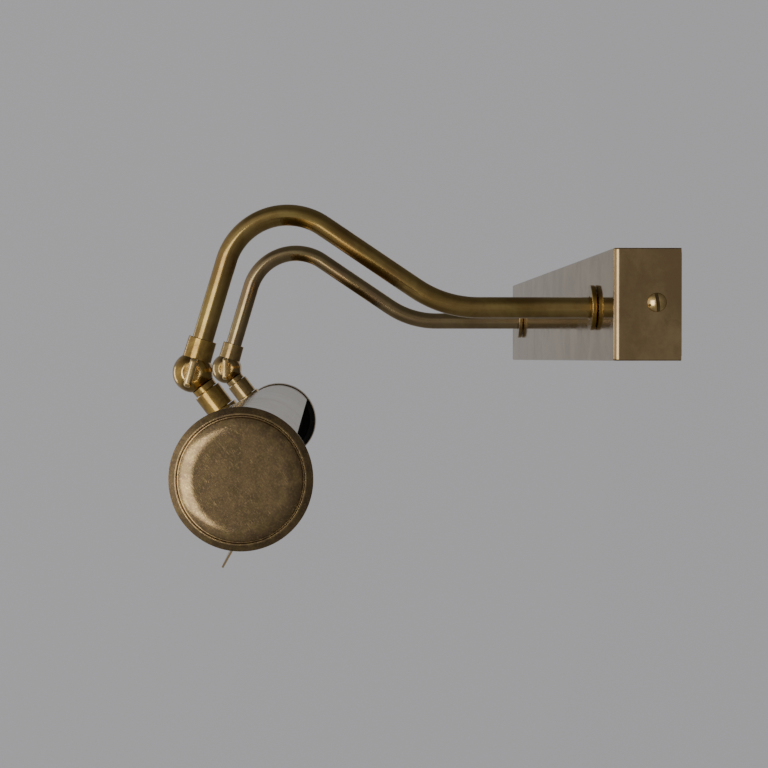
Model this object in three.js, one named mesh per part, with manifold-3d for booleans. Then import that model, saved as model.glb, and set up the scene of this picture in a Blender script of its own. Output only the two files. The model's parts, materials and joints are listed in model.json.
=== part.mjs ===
// Picture light: a long wall box, two bent arms and a tilting brass shade on two knuckle joints.
// Millimetres, +Z up. X runs along the light, the wall is the plane y = 0 and the light stands out
// towards -Y. The origin is the centre of the wall bracket's back face. Right is the +X end.

import * as THREE from 'three';
import { mergeVertices } from 'three/addons/utils/BufferGeometryUtils.js';
import Module from 'manifold-3d';

const library = await Module();
library.setup();

// ---------------------------------------------------------------- driving dimensions

const GAP = 0.3;                      // clearance between pieces that touch
const OVERRUN = 1;                    // how far a cutting shape runs past the face it cuts
const ROUND_SIDES = 16;               // sides of an ordinary round piece
const SMALL_SIDES = 12;               // sides of a screw or small hole
const SHADE_SIDES = 72;               // sides of a bar as wide as the shade

// Wall box
const BOX_LENGTH = 446;
const BOX_HEIGHT = 50;
const BOX_DEPTH = 30.5;               // front face to wall
const BOX_SHEET = 1.5;
const BOX_BEND = 2.4;                 // outside radius of the upright front edges
const BOX_WALL_GAP = 0.5;             // the cover stops just short of the wall
const BRACKET_SHEET = 2;
const BRACKET_TAB_REACH = 21;
const BRACKET_TAB_HEIGHT = 30;
const COVER_SCREW_FROM_WALL = 11.5;
const COVER_SCREW_HEIGHT = 0.8;       // above the box's middle
const WALL_SLOT_X = 105;
const WALL_SLOT_LENGTH = 12;
const WALL_SLOT_WIDTH = 5;

// Electrical parts in the box
const CABLE_ENTRY_X = 38;
const CABLE_ENTRY_RADIUS = 8;
const EARTH_X = 62;
const TERMINAL_X = 98;
const TERMINAL_PITCH = 10;
const TERMINAL_POLES = 3;
const TERMINAL_DEPTH = 14;
const TERMINAL_HEIGHT = 18;
const DRIVER_X = -80;
const DRIVER_LENGTH = 104;
const DRIVER_DEPTH = 18;
const DRIVER_HEIGHT = 26;
const DRIVER_EAR = 9;
const LEAD_RADIUS = 1.5;

// Arms
const ARM_X = 164;                    // arms stand this far each side of the middle
const TUBE_RADIUS = 5;
const TUBE_BORE = 3.9;
const ARM_START = -21;                // the tube's inner end, inside the box
const ARM_RUN = 64.6;                 // level stretch
const LOWER_BEND = 33.9;              // degrees up
const LOWER_BEND_RADIUS = 53;
const ARM_RISE = 52.4;
const UPPER_BEND = 107.2;             // degrees down
const UPPER_BEND_RADIUS = 30;
const ARM_LEG = 44.3;
const BEND_STEP = 12;                 // degrees between stations in a bend
const DISC_RADIUS = 10.7;
const DISC_THICKNESS = 2.3;

// Knuckle joints
const BALL_RADIUS = 9.5;
const BALL_SPLIT = 0.6;               // each half stops this far from the middle plane
const TUBE_END_TO_BALL = 10.5;        // arm's end to the ball's centre
const UPPER_NECK_RADIUS = 6.7;
const UPPER_NECK_REACH = 16.3;
const LOWER_NECK_RADIUS = 5.7;
const LOWER_NECK_REACH = 10.7;
const STEM_RADIUS = 4;
const STEM_REACH = 30.2;
const CABLE_BORE = 2.3;
const SCREW_SHANK_RADIUS = 2.5;
const HUB_RADIUS = 4.9;
const HUB_SEAT = 8.1;                 // flat on the ball under the thumb screw's hub
const HUB_THICKNESS = 2.2;
const WING_LENGTH = 14.4;
const WING_THICKNESS = 3.4;
const WING_REACH = 18;                // ball's centre to the wing's outer edge
const WING_TURN = { right: -15.5, left: -1 };

// Shade, in the tilting head's own frame: origin on the hinge, -Z towards the shade
const HEAD_TILT = 37.4;               // degrees, stems lean this far towards the wall
const SHADE_DROP = 48.9;              // hinge to the shade's axis
const SHADE_LENGTH = 698;
const TROUGH_RADIUS = 26;
const TROUGH_SHEET = 0.8;
const TROUGH_ANGLE = 228.4;           // degrees of tube wall, from the head's +Y over the stems
const LIP_LEAN = 25.2;                // degrees the front lip leans out from straight down
const LIP_REACH = 10.4;               // the wall's inner face to the lip's edge
const CAP_RADIUS = 27.3;
const CAP_DEPTH = 11;
const CAP_FACE = 5.1;                 // outer face to the rim's inner face
const CAP_SIDES = 36;
const COLLAR_START = 11;
const COLLAR_END = 21.6;
const SADDLE_RADIUS = 7.8;

// Light source in the shade, measured from the hinge along the stems
const STRAP_TOP = 26;
const STRAP_SHEET = 1.2;
const STRAP_STEP = 2.8;
const STRAP_WIDTH = 13;
const STRAP_SCREW_OFFSET = 26;
const CHANNEL_TOP = 30.5;
const CHANNEL_HEIGHT = 9;
const CHANNEL_WIDTH = 22;
const CHANNEL_WALL = 2;
const CHANNEL_LENGTH = 640;
const BOARD_THICKNESS = 1.6;
const DIFFUSER_THICKNESS = 3;

const SIDES = { right: 1, left: -1 };

// ---------------------------------------------------------------- materials

function metal(color, roughness) {
  return new THREE.MeshStandardMaterial({ color, roughness, metalness: 1 });
}

function matte(color, roughness) {
  return new THREE.MeshStandardMaterial({ color, roughness, metalness: 0 });
}

const agedBrass = metal(0x8a7046, 0.32);
const shadeBrass = metal(0x9a8052, 0.28);
const brightBrass = metal(0xc2a162, 0.26);
const zincSteel = metal(0xa9abad, 0.4);
const aluminium = metal(0xc4c6c8, 0.38);
const whitePlastic = matte(0xe6e4de, 0.5);
const blackRubber = matte(0x1c1c1c, 0.8);
const leadSleeve = matte(0x6b5a3c, 0.6);
const fibre = matte(0x5a2f22, 0.7);
const boardWhite = matte(0xf0f0ec, 0.45);
const opal = matte(0xf6f4ee, 0.35);

// ---------------------------------------------------------------- solids

const AXIS = {
  x: new THREE.Vector3(1, 0, 0),
  y: new THREE.Vector3(0, 1, 0),
  z: new THREE.Vector3(0, 0, 1),
};

function at(x, y, z) {
  return new THREE.Vector3(x, y, z);
}

/** A closed geometry as a solid that can be joined and cut. */
function solid(geometry) {
  const bare = geometry.clone();
  bare.deleteAttribute('normal');
  bare.deleteAttribute('uv');
  const merged = mergeVertices(bare, 1e-4);
  const corners = merged.index.array;
  const triangles = [];
  for (let i = 0; i < corners.length; i += 3) {
    const [a, b, c] = corners.slice(i, i + 3);
    if (a !== b && b !== c && c !== a) {
      triangles.push(a, b, c);
    }
  }
  const mesh = new library.Mesh({
    numProp: 3,
    vertProperties: new Float32Array(merged.attributes.position.array),
    triVerts: new Uint32Array(triangles),
  });
  return new library.Manifold(mesh);
}

/** The geometry of a finished solid. */
function geometryOf(body) {
  const mesh = body.getMesh();
  const geometry = new THREE.BufferGeometry();
  geometry.setAttribute('position', new THREE.BufferAttribute(new Float32Array(mesh.vertProperties), 3));
  geometry.setIndex(new THREE.BufferAttribute(new Uint32Array(mesh.triVerts), 1));
  geometry.computeVertexNormals();
  return geometry;
}

/** Turns a geometry made about +Y to point along a direction, and moves it to a place. */
function aimed(geometry, direction, place) {
  const turn = new THREE.Quaternion().setFromUnitVectors(AXIS.y, direction);
  return geometry.applyQuaternion(turn).translate(place.x, place.y, place.z);
}

/** A block between two opposite corners. */
function block(low, high) {
  const size = high.clone().sub(low);
  const middle = low.clone().add(high).multiplyScalar(0.5);
  const geometry = new THREE.BoxGeometry(size.x, size.y, size.z);
  return solid(geometry.translate(middle.x, middle.y, middle.z));
}

/** A round bar between two points. */
function rod(radius, start, end, sides = ROUND_SIDES) {
  const reach = end.clone().sub(start);
  const middle = start.clone().add(end).multiplyScalar(0.5);
  const geometry = new THREE.CylinderGeometry(radius, radius, reach.length(), sides);
  return solid(aimed(geometry, reach.normalize(), middle));
}

/** A washer or sleeve between two points. */
function ring(outer, inner, start, end, sides = ROUND_SIDES) {
  const past = end.clone().sub(start).setLength(OVERRUN);
  const bore = rod(inner, start.clone().sub(past), end.clone().add(past));
  return rod(outer, start, end, sides).subtract(bore);
}

/** A hexagon nut between two points. */
function nut(acrossFlats, bore, start, end) {
  return ring(acrossFlats / Math.sqrt(3), bore, start, end, 6);
}

function ball(radius) {
  return solid(new THREE.SphereGeometry(radius, 20, 12));
}

/** A turned piece: its outline is [radius, distance along the direction], anticlockwise. */
function turned(outline, direction, place, sides = ROUND_SIDES) {
  const points = outline.map(([radius, along]) => new THREE.Vector2(radius, along));
  return solid(aimed(new THREE.LatheGeometry(points, sides), direction, place));
}

/** Extrudes an outline drawn in (y, z) from one x to another. */
function alongX(outline, start, end, curveSegments = 12) {
  const depth = end - start;
  const geometry = new THREE.ExtrudeGeometry(outline, { depth, bevelEnabled: false, curveSegments });
  geometry.applyMatrix4(new THREE.Matrix4().makeBasis(AXIS.y, AXIS.z, AXIS.x));
  return solid(geometry.translate(start, 0, 0));
}

/** A screw head with a slot, its underside at the origin and its shank running back from it. */
function slottedScrew(head, headHeight, shank, shankLength, slot) {
  const outline = [
    [0, -shankLength],
    [shank, -shankLength],
    [shank, 0],
    [head, 0],
    [head, headHeight * 0.35],
    [head * 0.7, headHeight * 0.85],
    [0, headHeight],
  ];
  const body = turned(outline, AXIS.y, at(0, 0, 0), SMALL_SIDES);
  const groove = block(at(-slot / 2, headHeight * 0.5, -head * 2), at(slot / 2, headHeight * 2, head * 2));
  return body.subtract(groove);
}

/** A path through listed stations, with one step of an extrusion between each two. */
class StationPath extends THREE.Curve {
  constructor(stations) {
    super();
    this.stations = stations;
  }

  stationAt(t) {
    return this.stations[Math.round(t * (this.stations.length - 1))];
  }

  getUtoTmapping(u) {
    return u;
  }

  getPoint(t) {
    return this.stationAt(t).point.clone();
  }

  getTangent(t) {
    return this.stationAt(t).tangent.clone();
  }
}

/** Unit vector that leaves the wall at an angle above the level. */
function outwards(degrees) {
  const angle = THREE.MathUtils.degToRad(degrees);
  return at(0, -Math.cos(angle), Math.sin(angle));
}

/** Stations of a tube bent in the y-z plane: straights in millimetres, bends in degrees. */
function bentStations(start, moves) {
  const point = start.clone();
  let heading = 0;
  const stations = [{ point: point.clone(), tangent: outwards(heading) }];
  for (const { straight = 0, bend = 0, radius = 0 } of moves) {
    const steps = Math.max(1, Math.ceil(Math.abs(bend) / BEND_STEP));
    const turn = bend / steps;
    const chord = 2 * radius * Math.sin(THREE.MathUtils.degToRad(Math.abs(turn)) / 2);
    for (let step = 0; step < steps; step += 1) {
      point.addScaledVector(outwards(heading + turn / 2), chord + straight);
      heading += turn;
      stations.push({ point: point.clone(), tangent: outwards(heading) });
    }
  }
  return stations;
}

function circle(radius) {
  return new THREE.Shape().absarc(0, 0, radius, 0, Math.PI * 2);
}

/** A lead of round section along a smooth curve. */
function lead(points, steps) {
  const curve = new THREE.CatmullRomCurve3(points);
  const options = { steps, extrudePath: curve, curveSegments: 3 };
  return solid(new THREE.ExtrudeGeometry(circle(LEAD_RADIUS), options));
}

// ---------------------------------------------------------------- scene helpers

const light = new THREE.Group();

function addPart(parent, name, body, material) {
  const mesh = new THREE.Mesh(geometryOf(body), material);
  mesh.name = name;
  parent.add(mesh);
  return mesh;
}

function addGroup(parent, x, y, z, tilt = 0) {
  const group = new THREE.Group();
  group.position.set(x, y, z);
  group.rotation.x = THREE.MathUtils.degToRad(tilt);
  parent.add(group);
  return group;
}

// ---------------------------------------------------------------- wall bracket and box

const bracketEnd = BOX_LENGTH / 2 - BOX_SHEET - GAP;
const bracketHalfHeight = BOX_HEIGHT / 2 - BOX_SHEET - GAP;
const insideFace = -BRACKET_SHEET - GAP;            // where pieces sit on the bracket
const driverScrewOffset = DRIVER_LENGTH / 2 + DRIVER_EAR / 2;
const driverEarSheet = 2;
const coverScrewShank = 2;
const smallScrewShank = 1.5;

function wallSlot(x) {
  const half = (WALL_SLOT_LENGTH - WALL_SLOT_WIDTH) / 2;
  const radius = WALL_SLOT_WIDTH / 2;
  const ends = [-half, half].map((shift) => bracketHole(x + shift, radius));
  const middle = block(
    at(x - half, -BRACKET_SHEET - OVERRUN, -radius),
    at(x + half, OVERRUN, radius),
  );
  return ends[0].add(ends[1]).add(middle);
}

function bracketHole(x, radius) {
  return rod(radius, at(x, -BRACKET_SHEET - OVERRUN, 0), at(x, OVERRUN, 0), SMALL_SIDES);
}

/** One bar through both ends of the box, on the line of the cover screws. */
function coverScrewHoles() {
  const left = at(-BOX_LENGTH, -COVER_SCREW_FROM_WALL, COVER_SCREW_HEIGHT);
  const right = at(BOX_LENGTH, -COVER_SCREW_FROM_WALL, COVER_SCREW_HEIGHT);
  return rod(coverScrewShank + GAP, left, right, SMALL_SIDES);
}

function wallBracket() {
  let body = block(
    at(-bracketEnd, -BRACKET_SHEET, -bracketHalfHeight),
    at(bracketEnd, 0, bracketHalfHeight),
  );
  for (const side of Object.values(SIDES)) {
    const outer = side * bracketEnd;
    const inner = side * (bracketEnd - BRACKET_SHEET);
    body = body.add(block(
      at(Math.min(outer, inner), -BRACKET_TAB_REACH, -BRACKET_TAB_HEIGHT / 2),
      at(Math.max(outer, inner), -BRACKET_SHEET / 2, BRACKET_TAB_HEIGHT / 2),
    ));
    body = body.subtract(wallSlot(side * WALL_SLOT_X));
    body = body.subtract(bracketHole(DRIVER_X + side * driverScrewOffset, smallScrewShank + GAP));
  }
  return body
    .subtract(coverScrewHoles())
    .subtract(bracketHole(CABLE_ENTRY_X, CABLE_ENTRY_RADIUS))
    .subtract(bracketHole(EARTH_X, coverScrewShank + GAP));
}

/** Plan of the folded front of the box, set in from its outside by an inset. */
function boxPlan(inset, back) {
  const end = BOX_LENGTH / 2 - inset;
  const front = -BOX_DEPTH + inset;
  const radius = BOX_BEND - inset;
  const plan = new THREE.Shape();
  plan.moveTo(end, back);
  plan.lineTo(-end, back);
  plan.lineTo(-end, front + radius);
  plan.absarc(-end + radius, front + radius, radius, Math.PI, Math.PI * 1.5);
  plan.absarc(end - radius, front + radius, radius, Math.PI * 1.5, Math.PI * 2);
  plan.closePath();
  return plan;
}

function boxSlab(inset, back, halfHeight) {
  const options = { depth: 2 * halfHeight, bevelEnabled: false, curveSegments: 3 };
  const geometry = new THREE.ExtrudeGeometry(boxPlan(inset, back), options);
  return solid(geometry.translate(0, 0, -halfHeight));
}

function backplateCover() {
  const hollow = boxSlab(BOX_SHEET, OVERRUN, BOX_HEIGHT / 2 - BOX_SHEET);
  let body = boxSlab(0, -BOX_WALL_GAP, BOX_HEIGHT / 2).subtract(hollow);
  for (const side of Object.values(SIDES)) {
    const x = side * ARM_X;
    body = body.subtract(rod(TUBE_RADIUS + GAP, at(x, -BOX_DEPTH - OVERRUN, 0), at(x, ARM_START, 0)));
  }
  return body.subtract(coverScrewHoles());
}

function cableGrommet() {
  const sleeve = CABLE_ENTRY_RADIUS - GAP;
  const outline = [
    [sleeve - 2.5, 0],
    [sleeve, 0],
    [sleeve, -insideFace],
    [sleeve + 2.8, -insideFace],
    [sleeve + 2.8, -insideFace + 1.5],
    [sleeve - 2.5, -insideFace + 1.5],
    [sleeve - 2.5, 0],
  ];
  return turned(outline, at(0, -1, 0), at(CABLE_ENTRY_X, 0, 0));
}

function ledDriver() {
  const half = DRIVER_LENGTH / 2;
  const back = insideFace;
  let body = block(
    at(DRIVER_X - half, back - DRIVER_DEPTH, -DRIVER_HEIGHT / 2),
    at(DRIVER_X + half, back, DRIVER_HEIGHT / 2),
  );
  body = body.add(block(
    at(DRIVER_X - half - DRIVER_EAR, back - driverEarSheet, -6),
    at(DRIVER_X + half + DRIVER_EAR, back, 6),
  ));
  for (const side of Object.values(SIDES)) {
    const x = DRIVER_X + side * driverScrewOffset;
    const mouth = at(x, back - driverEarSheet - OVERRUN, 0);
    body = body.subtract(rod(smallScrewShank + GAP, mouth, at(x, OVERRUN, 0), SMALL_SIDES));
  }
  return body;
}

const terminalBack = insideFace;
const terminalFront = terminalBack - TERMINAL_DEPTH;
const terminalScrewRadius = 1.8;
const terminalScrewLength = 4;
const terminalWireHole = 1.9;
const terminalWireY = terminalBack - 5.5;

function terminalPoleX(pole) {
  return TERMINAL_X + (pole - (TERMINAL_POLES - 1) / 2) * TERMINAL_PITCH;
}

function terminalBlock() {
  const half = TERMINAL_PITCH * TERMINAL_POLES / 2;
  let body = block(
    at(TERMINAL_X - half, terminalFront, -TERMINAL_HEIGHT / 2),
    at(TERMINAL_X + half, terminalBack, TERMINAL_HEIGHT / 2),
  );
  for (let pole = 0; pole < TERMINAL_POLES; pole += 1) {
    const x = terminalPoleX(pole);
    const wireStart = at(x, terminalWireY, -TERMINAL_HEIGHT);
    const wireEnd = at(x, terminalWireY, TERMINAL_HEIGHT);
    body = body.subtract(rod(terminalWireHole, wireStart, wireEnd, SMALL_SIDES));
    for (const z of [-TERMINAL_HEIGHT / 4, TERMINAL_HEIGHT / 4]) {
      const floor = terminalFront + terminalScrewLength + 2 * GAP;
      const mouth = at(x, terminalFront - OVERRUN, z);
      body = body.subtract(rod(terminalScrewRadius + GAP, mouth, at(x, floor, z), SMALL_SIDES));
    }
  }
  return body;
}

addPart(light, 'wall_bracket', wallBracket(), zincSteel);
addPart(light, 'backplate_cover', backplateCover(), agedBrass);
addPart(light, 'cable_grommet', cableGrommet(), blackRubber);
addPart(light, 'led_driver', ledDriver(), whitePlastic);
addPart(light, 'terminal_block', terminalBlock(), whitePlastic);

for (let pole = 0; pole < TERMINAL_POLES; pole += 1) {
  for (const [row, z] of [['upper', TERMINAL_HEIGHT / 4], ['lower', -TERMINAL_HEIGHT / 4]]) {
    const x = terminalPoleX(pole);
    const start = at(x, terminalFront + GAP, z);
    const end = at(x, terminalFront + GAP + terminalScrewLength, z);
    const screw = rod(terminalScrewRadius, start, end, SMALL_SIDES);
    addPart(light, `terminal_screw_${row}_${pole + 1}`, screw, brightBrass);
  }
}

const earthWasherFace = insideFace - 1;
const earthHeadSeat = earthWasherFace - GAP;
const earthWasher = ring(
  4.5,
  coverScrewShank + GAP,
  at(EARTH_X, earthWasherFace, 0),
  at(EARTH_X, insideFace, 0),
);
addPart(light, 'earth_washer', earthWasher, brightBrass);
const earthScrew = addPart(
  light,
  'earth_screw',
  slottedScrew(3.8, 2.4, coverScrewShank, -earthHeadSeat - GAP, 1),
  brightBrass,
);
earthScrew.position.set(EARTH_X, earthHeadSeat, 0);
earthScrew.rotation.z = Math.PI;

for (const [side, sign] of Object.entries(SIDES)) {
  const driverScrewSeat = insideFace - driverEarSheet - GAP;
  const driverScrew = addPart(
    light,
    `driver_screw_${side}`,
    slottedScrew(2.8, 2, smallScrewShank, -driverScrewSeat - GAP, 0.8),
    zincSteel,
  );
  driverScrew.position.set(DRIVER_X + sign * driverScrewOffset, driverScrewSeat, 0);
  driverScrew.rotation.z = Math.PI;

  const coverScrew = addPart(
    light,
    `cover_screw_${side}`,
    slottedScrew(4.25, 2.6, coverScrewShank, 8, 1.3),
    brightBrass,
  );
  coverScrew.position.set(sign * (BOX_LENGTH / 2 + GAP), -COVER_SCREW_FROM_WALL, COVER_SCREW_HEIGHT);
  coverScrew.rotation.z = -sign * Math.PI / 2;
}

// ---------------------------------------------------------------- arms

const armStations = bentStations(at(0, ARM_START, 0), [
  { straight: ARM_RUN },
  { bend: LOWER_BEND, radius: LOWER_BEND_RADIUS },
  { straight: ARM_RISE },
  { bend: -UPPER_BEND, radius: UPPER_BEND_RADIUS },
  { straight: ARM_LEG },
]);
const armEnd = armStations[armStations.length - 1];
const hinge = armEnd.point.clone().addScaledVector(armEnd.tangent, TUBE_END_TO_BALL);
const armLean = 90 + LOWER_BEND - UPPER_BEND;        // degrees, the leg leans towards the wall going up

function armTube() {
  const section = circle(TUBE_RADIUS);
  section.holes.push(new THREE.Path().absarc(0, 0, TUBE_BORE, 0, Math.PI * 2));
  const options = {
    steps: armStations.length - 1,
    extrudePath: new StationPath(armStations),
    curveSegments: SMALL_SIDES / 2,
  };
  return solid(new THREE.ExtrudeGeometry(section, options));
}

const clampFace = -BOX_DEPTH + BOX_SHEET + GAP;     // inside face of the cover's front
const armWasherThickness = 1;
const armNutThickness = 3.6;

for (const [side, sign] of Object.entries(SIDES)) {
  const arm = addGroup(light, sign * ARM_X, 0, 0);
  const bore = TUBE_RADIUS + GAP;
  const discFace = -BOX_DEPTH - GAP;
  const disc = ring(DISC_RADIUS, bore, at(0, discFace - DISC_THICKNESS, 0), at(0, discFace, 0));
  const washerEnd = clampFace + armWasherThickness;
  const washer = ring(8.5, bore, at(0, clampFace, 0), at(0, washerEnd, 0));
  const nutStart = washerEnd + GAP;
  const armNut = nut(14, bore, at(0, nutStart, 0), at(0, nutStart + armNutThickness, 0));
  addPart(arm, `wall_disc_${side}`, disc, agedBrass);
  addPart(arm, `arm_washer_${side}`, washer, zincSteel);
  addPart(arm, `arm_nut_${side}`, armNut, zincSteel);
  addPart(arm, `arm_tube_${side}`, armTube(), agedBrass);
}

// ---------------------------------------------------------------- leads in the box and the right arm

const driverEnd = DRIVER_X + DRIVER_LENGTH / 2;
const leadDepth = insideFace - 7;
const inputLead = lead([
  at(driverEnd + GAP, leadDepth, -6),
  at(driverEnd + 14, leadDepth, -8),
  at(CABLE_ENTRY_X - 20, leadDepth, -16),
  at(EARTH_X, leadDepth, -18),
  at(TERMINAL_X - 14, leadDepth, -17.5),
  at(terminalPoleX(0) - 0.6, terminalWireY - 0.2, -13.5),
  at(terminalPoleX(0), terminalWireY, -TERMINAL_HEIGHT / 2 - GAP),
], 16);
addPart(light, 'input_lead', inputLead, leadSleeve);

const armCablePoints = [
  at(driverEnd + GAP, leadDepth, 6),
  at(driverEnd + 14, leadDepth, 8),
  at(CABLE_ENTRY_X - 20, leadDepth, 15),
  at(EARTH_X, leadDepth, 17),
  at(TERMINAL_X, leadDepth + 1, 17.5),
  at(TERMINAL_X + 30, leadDepth + 2, 14),
  at(ARM_X - 15, leadDepth + 1, 6),
  at(ARM_X - 3, leadDepth - 2, 1),
  at(ARM_X, leadDepth - 8, 0),
];
for (const station of armStations.slice(1)) {
  armCablePoints.push(at(ARM_X, station.point.y, station.point.z));
}
addPart(light, 'arm_cable', lead(armCablePoints, 48), leadSleeve);

// ---------------------------------------------------------------- knuckles, upper halves

/** The part of space on one side of the ball's middle plane. */
function halfSpace(sign, from) {
  const reach = 60;
  return block(
    at(sign > 0 ? from : -reach, -reach, -reach),
    at(sign > 0 ? reach : from, reach, reach),
  );
}

/** Half a ball on one side of the middle plane, with a round neck that clears the other half. */
function halfKnuckle(sign, neckRadius, neckStart, neckEnd) {
  const ownSide = halfSpace(sign, sign * BALL_SPLIT);
  const otherSide = halfSpace(-sign, sign * BALL_SPLIT);
  const socket = ball(BALL_RADIUS + GAP).intersect(otherSide);
  const neck = rod(neckRadius, neckStart, neckEnd).subtract(socket);
  return ball(BALL_RADIUS).intersect(ownSide).add(neck);
}

function upperKnuckle() {
  const past = at(0, 0, UPPER_NECK_REACH + OVERRUN);
  return halfKnuckle(1, UPPER_NECK_RADIUS, at(0, 0, 0), at(0, 0, UPPER_NECK_REACH))
    .subtract(rod(TUBE_RADIUS + GAP, at(0, 0, TUBE_END_TO_BALL - GAP), past))
    .subtract(rod(CABLE_BORE, at(0, 0, 5), past))
    .subtract(rod(SCREW_SHANK_RADIUS + GAP, at(-BALL_RADIUS, 0, 0), at(BALL_RADIUS + OVERRUN, 0, 0)))
    .subtract(rod(HUB_RADIUS + GAP, at(HUB_SEAT, 0, 0), at(BALL_RADIUS + OVERRUN, 0, 0)));
}

function thumbScrew() {
  const hubFace = HUB_SEAT + GAP;
  const wingRoot = hubFace + HUB_THICKNESS;
  const shank = rod(SCREW_SHANK_RADIUS, at(-6, 0, 0), at(hubFace + OVERRUN, 0, 0));
  const hub = rod(HUB_RADIUS, at(hubFace, 0, 0), at(wingRoot, 0, 0));
  const tipRadius = WING_LENGTH / 2;
  const outline = rod(tipRadius, at(wingRoot - OVERRUN, 0, 0), at(WING_REACH, 0, 0), 24);
  const half = WING_THICKNESS / 2;
  const blade = block(at(0, -half, -tipRadius), at(WING_REACH, half, tipRadius));
  return shank.add(hub).add(outline.intersect(blade));
}

const washerHalf = BALL_SPLIT / 2;
for (const [side, sign] of Object.entries(SIDES)) {
  const joint = addGroup(light, sign * ARM_X, hinge.y, hinge.z);
  const neckFrame = addGroup(joint, 0, 0, 0, -armLean);
  addPart(neckFrame, `knuckle_upper_${side}`, upperKnuckle(), agedBrass);
  const washer = ring(7, SCREW_SHANK_RADIUS + GAP, at(-washerHalf, 0, 0), at(washerHalf, 0, 0));
  addPart(joint, `friction_washer_${side}`, washer, fibre);
  const screwFrame = addGroup(joint, 0, 0, 0, WING_TURN[side]);
  addPart(screwFrame, `thumb_screw_${side}`, thumbScrew(), brightBrass);
}

// ---------------------------------------------------------------- tilting head

const head = addGroup(light, 0, hinge.y, hinge.z, HEAD_TILT);
const troughEnd = SHADE_LENGTH / 2 - CAP_FACE - GAP;
const lipEnd = SHADE_LENGTH / 2 - CAP_DEPTH - GAP;
const stemBore = STEM_RADIUS + GAP;

/** A round bar along X about the shade's axis. */
function shadeCore(radius, reach) {
  return rod(radius, at(-reach, 0, -SHADE_DROP), at(reach, 0, -SHADE_DROP), SHADE_SIDES);
}

function down(distance) {
  return at(0, 0, -distance);
}

function lowerKnuckle() {
  const ballAndNeck = halfKnuckle(-1, LOWER_NECK_RADIUS, at(0, 0, 0), down(LOWER_NECK_REACH));
  return ballAndNeck
    .add(rod(STEM_RADIUS, down(LOWER_NECK_REACH - OVERRUN), down(STEM_REACH)))
    .subtract(rod(CABLE_BORE, down(7), down(STEM_REACH + OVERRUN)))
    .subtract(rod(SCREW_SHANK_RADIUS + GAP, at(-7, 0, 0), at(BALL_RADIUS, 0, 0)));
}

function shadeTrough() {
  const angle = THREE.MathUtils.degToRad(TROUGH_ANGLE);
  const inner = TROUGH_RADIUS - TROUGH_SHEET;
  const wall = new THREE.Shape();
  wall.absarc(0, 0, TROUGH_RADIUS, 0, angle);
  wall.absarc(0, 0, inner, angle, 0, true);
  wall.closePath();
  const lean = THREE.MathUtils.degToRad(TROUGH_ANGLE - LIP_LEAN);
  const outward = new THREE.Vector2(Math.cos(lean), Math.sin(lean));
  const inboard = new THREE.Vector2(Math.sin(lean), -Math.cos(lean)).multiplyScalar(TROUGH_SHEET);
  const root = new THREE.Vector2(Math.cos(angle), Math.sin(angle)).multiplyScalar(inner);
  root.addScaledVector(outward, TROUGH_SHEET / 2);
  const edge = root.clone().addScaledVector(outward, LIP_REACH - TROUGH_SHEET / 2);
  const lip = new THREE.Shape([root, edge, edge.clone().add(inboard), root.clone().add(inboard)]);
  const tube = alongX(wall, -troughEnd, troughEnd, 22);
  const flange = alongX(lip, -lipEnd, lipEnd);
  let body = tube.add(flange);
  for (const sign of Object.values(SIDES)) {
    const x = sign * ARM_X;
    body = body.subtract(rod(stemBore, at(x, 0, 0), at(x, 0, SHADE_DROP)));
  }
  return body;
}

function endCap(direction, place) {
  const skirt = TROUGH_RADIUS + GAP;
  const outline = [
    [0, -1.3],
    [17.2, -1.3],
    [21.4, -3],
    [22.6, -CAP_FACE],
    [skirt, -CAP_FACE],
    [skirt, -CAP_DEPTH],
    [CAP_RADIUS, -CAP_DEPTH],
    [CAP_RADIUS, -3.9],
    [CAP_RADIUS - 0.6, -3.2],
    [CAP_RADIUS - 2.4, -3.1],
    [23.9, -3.9],
    [23.4, -2.9],
    [22.2, -1.4],
    [20.3, -0.4],
    [17.6, 0],
    [0, 0],
  ];
  return turned(outline, direction, place, CAP_SIDES);
}

function saddleWasher() {
  return ring(SADDLE_RADIUS, stemBore, down(COLLAR_END + GAP), down(26))
    .subtract(shadeCore(TROUGH_RADIUS + GAP, 20));
}

function stemWasher() {
  return ring(7, stemBore, down(23), down(STRAP_TOP - GAP))
    .intersect(shadeCore(TROUGH_RADIUS - TROUGH_SHEET - GAP, 20));
}

/** Strap from under the stem nut to a screw in the light channel, stepped down between them. */
function lampBracket(sign) {
  const half = STRAP_WIDTH / 2;
  const step = 13;
  const start = -9;
  const end = STRAP_SCREW_OFFSET + 7;
  const low = STRAP_TOP + STRAP_STEP;
  const screwX = -sign * STRAP_SCREW_OFFSET;
  const flat = (from, to, top, bottom) => block(
    at(Math.min(-sign * from, -sign * to), -half, -bottom),
    at(Math.max(-sign * from, -sign * to), half, -top),
  );
  return flat(start, step, STRAP_TOP, STRAP_TOP + STRAP_SHEET)
    .add(flat(step - STRAP_SHEET, step, STRAP_TOP, low + STRAP_SHEET))
    .add(flat(step - STRAP_SHEET, end, low, low + STRAP_SHEET))
    .subtract(rod(stemBore, at(0, 0, 0), down(SHADE_DROP)))
    .subtract(rod(smallScrewShank + GAP, at(screwX, 0, 0), at(screwX, 0, -SHADE_DROP)));
}

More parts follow.
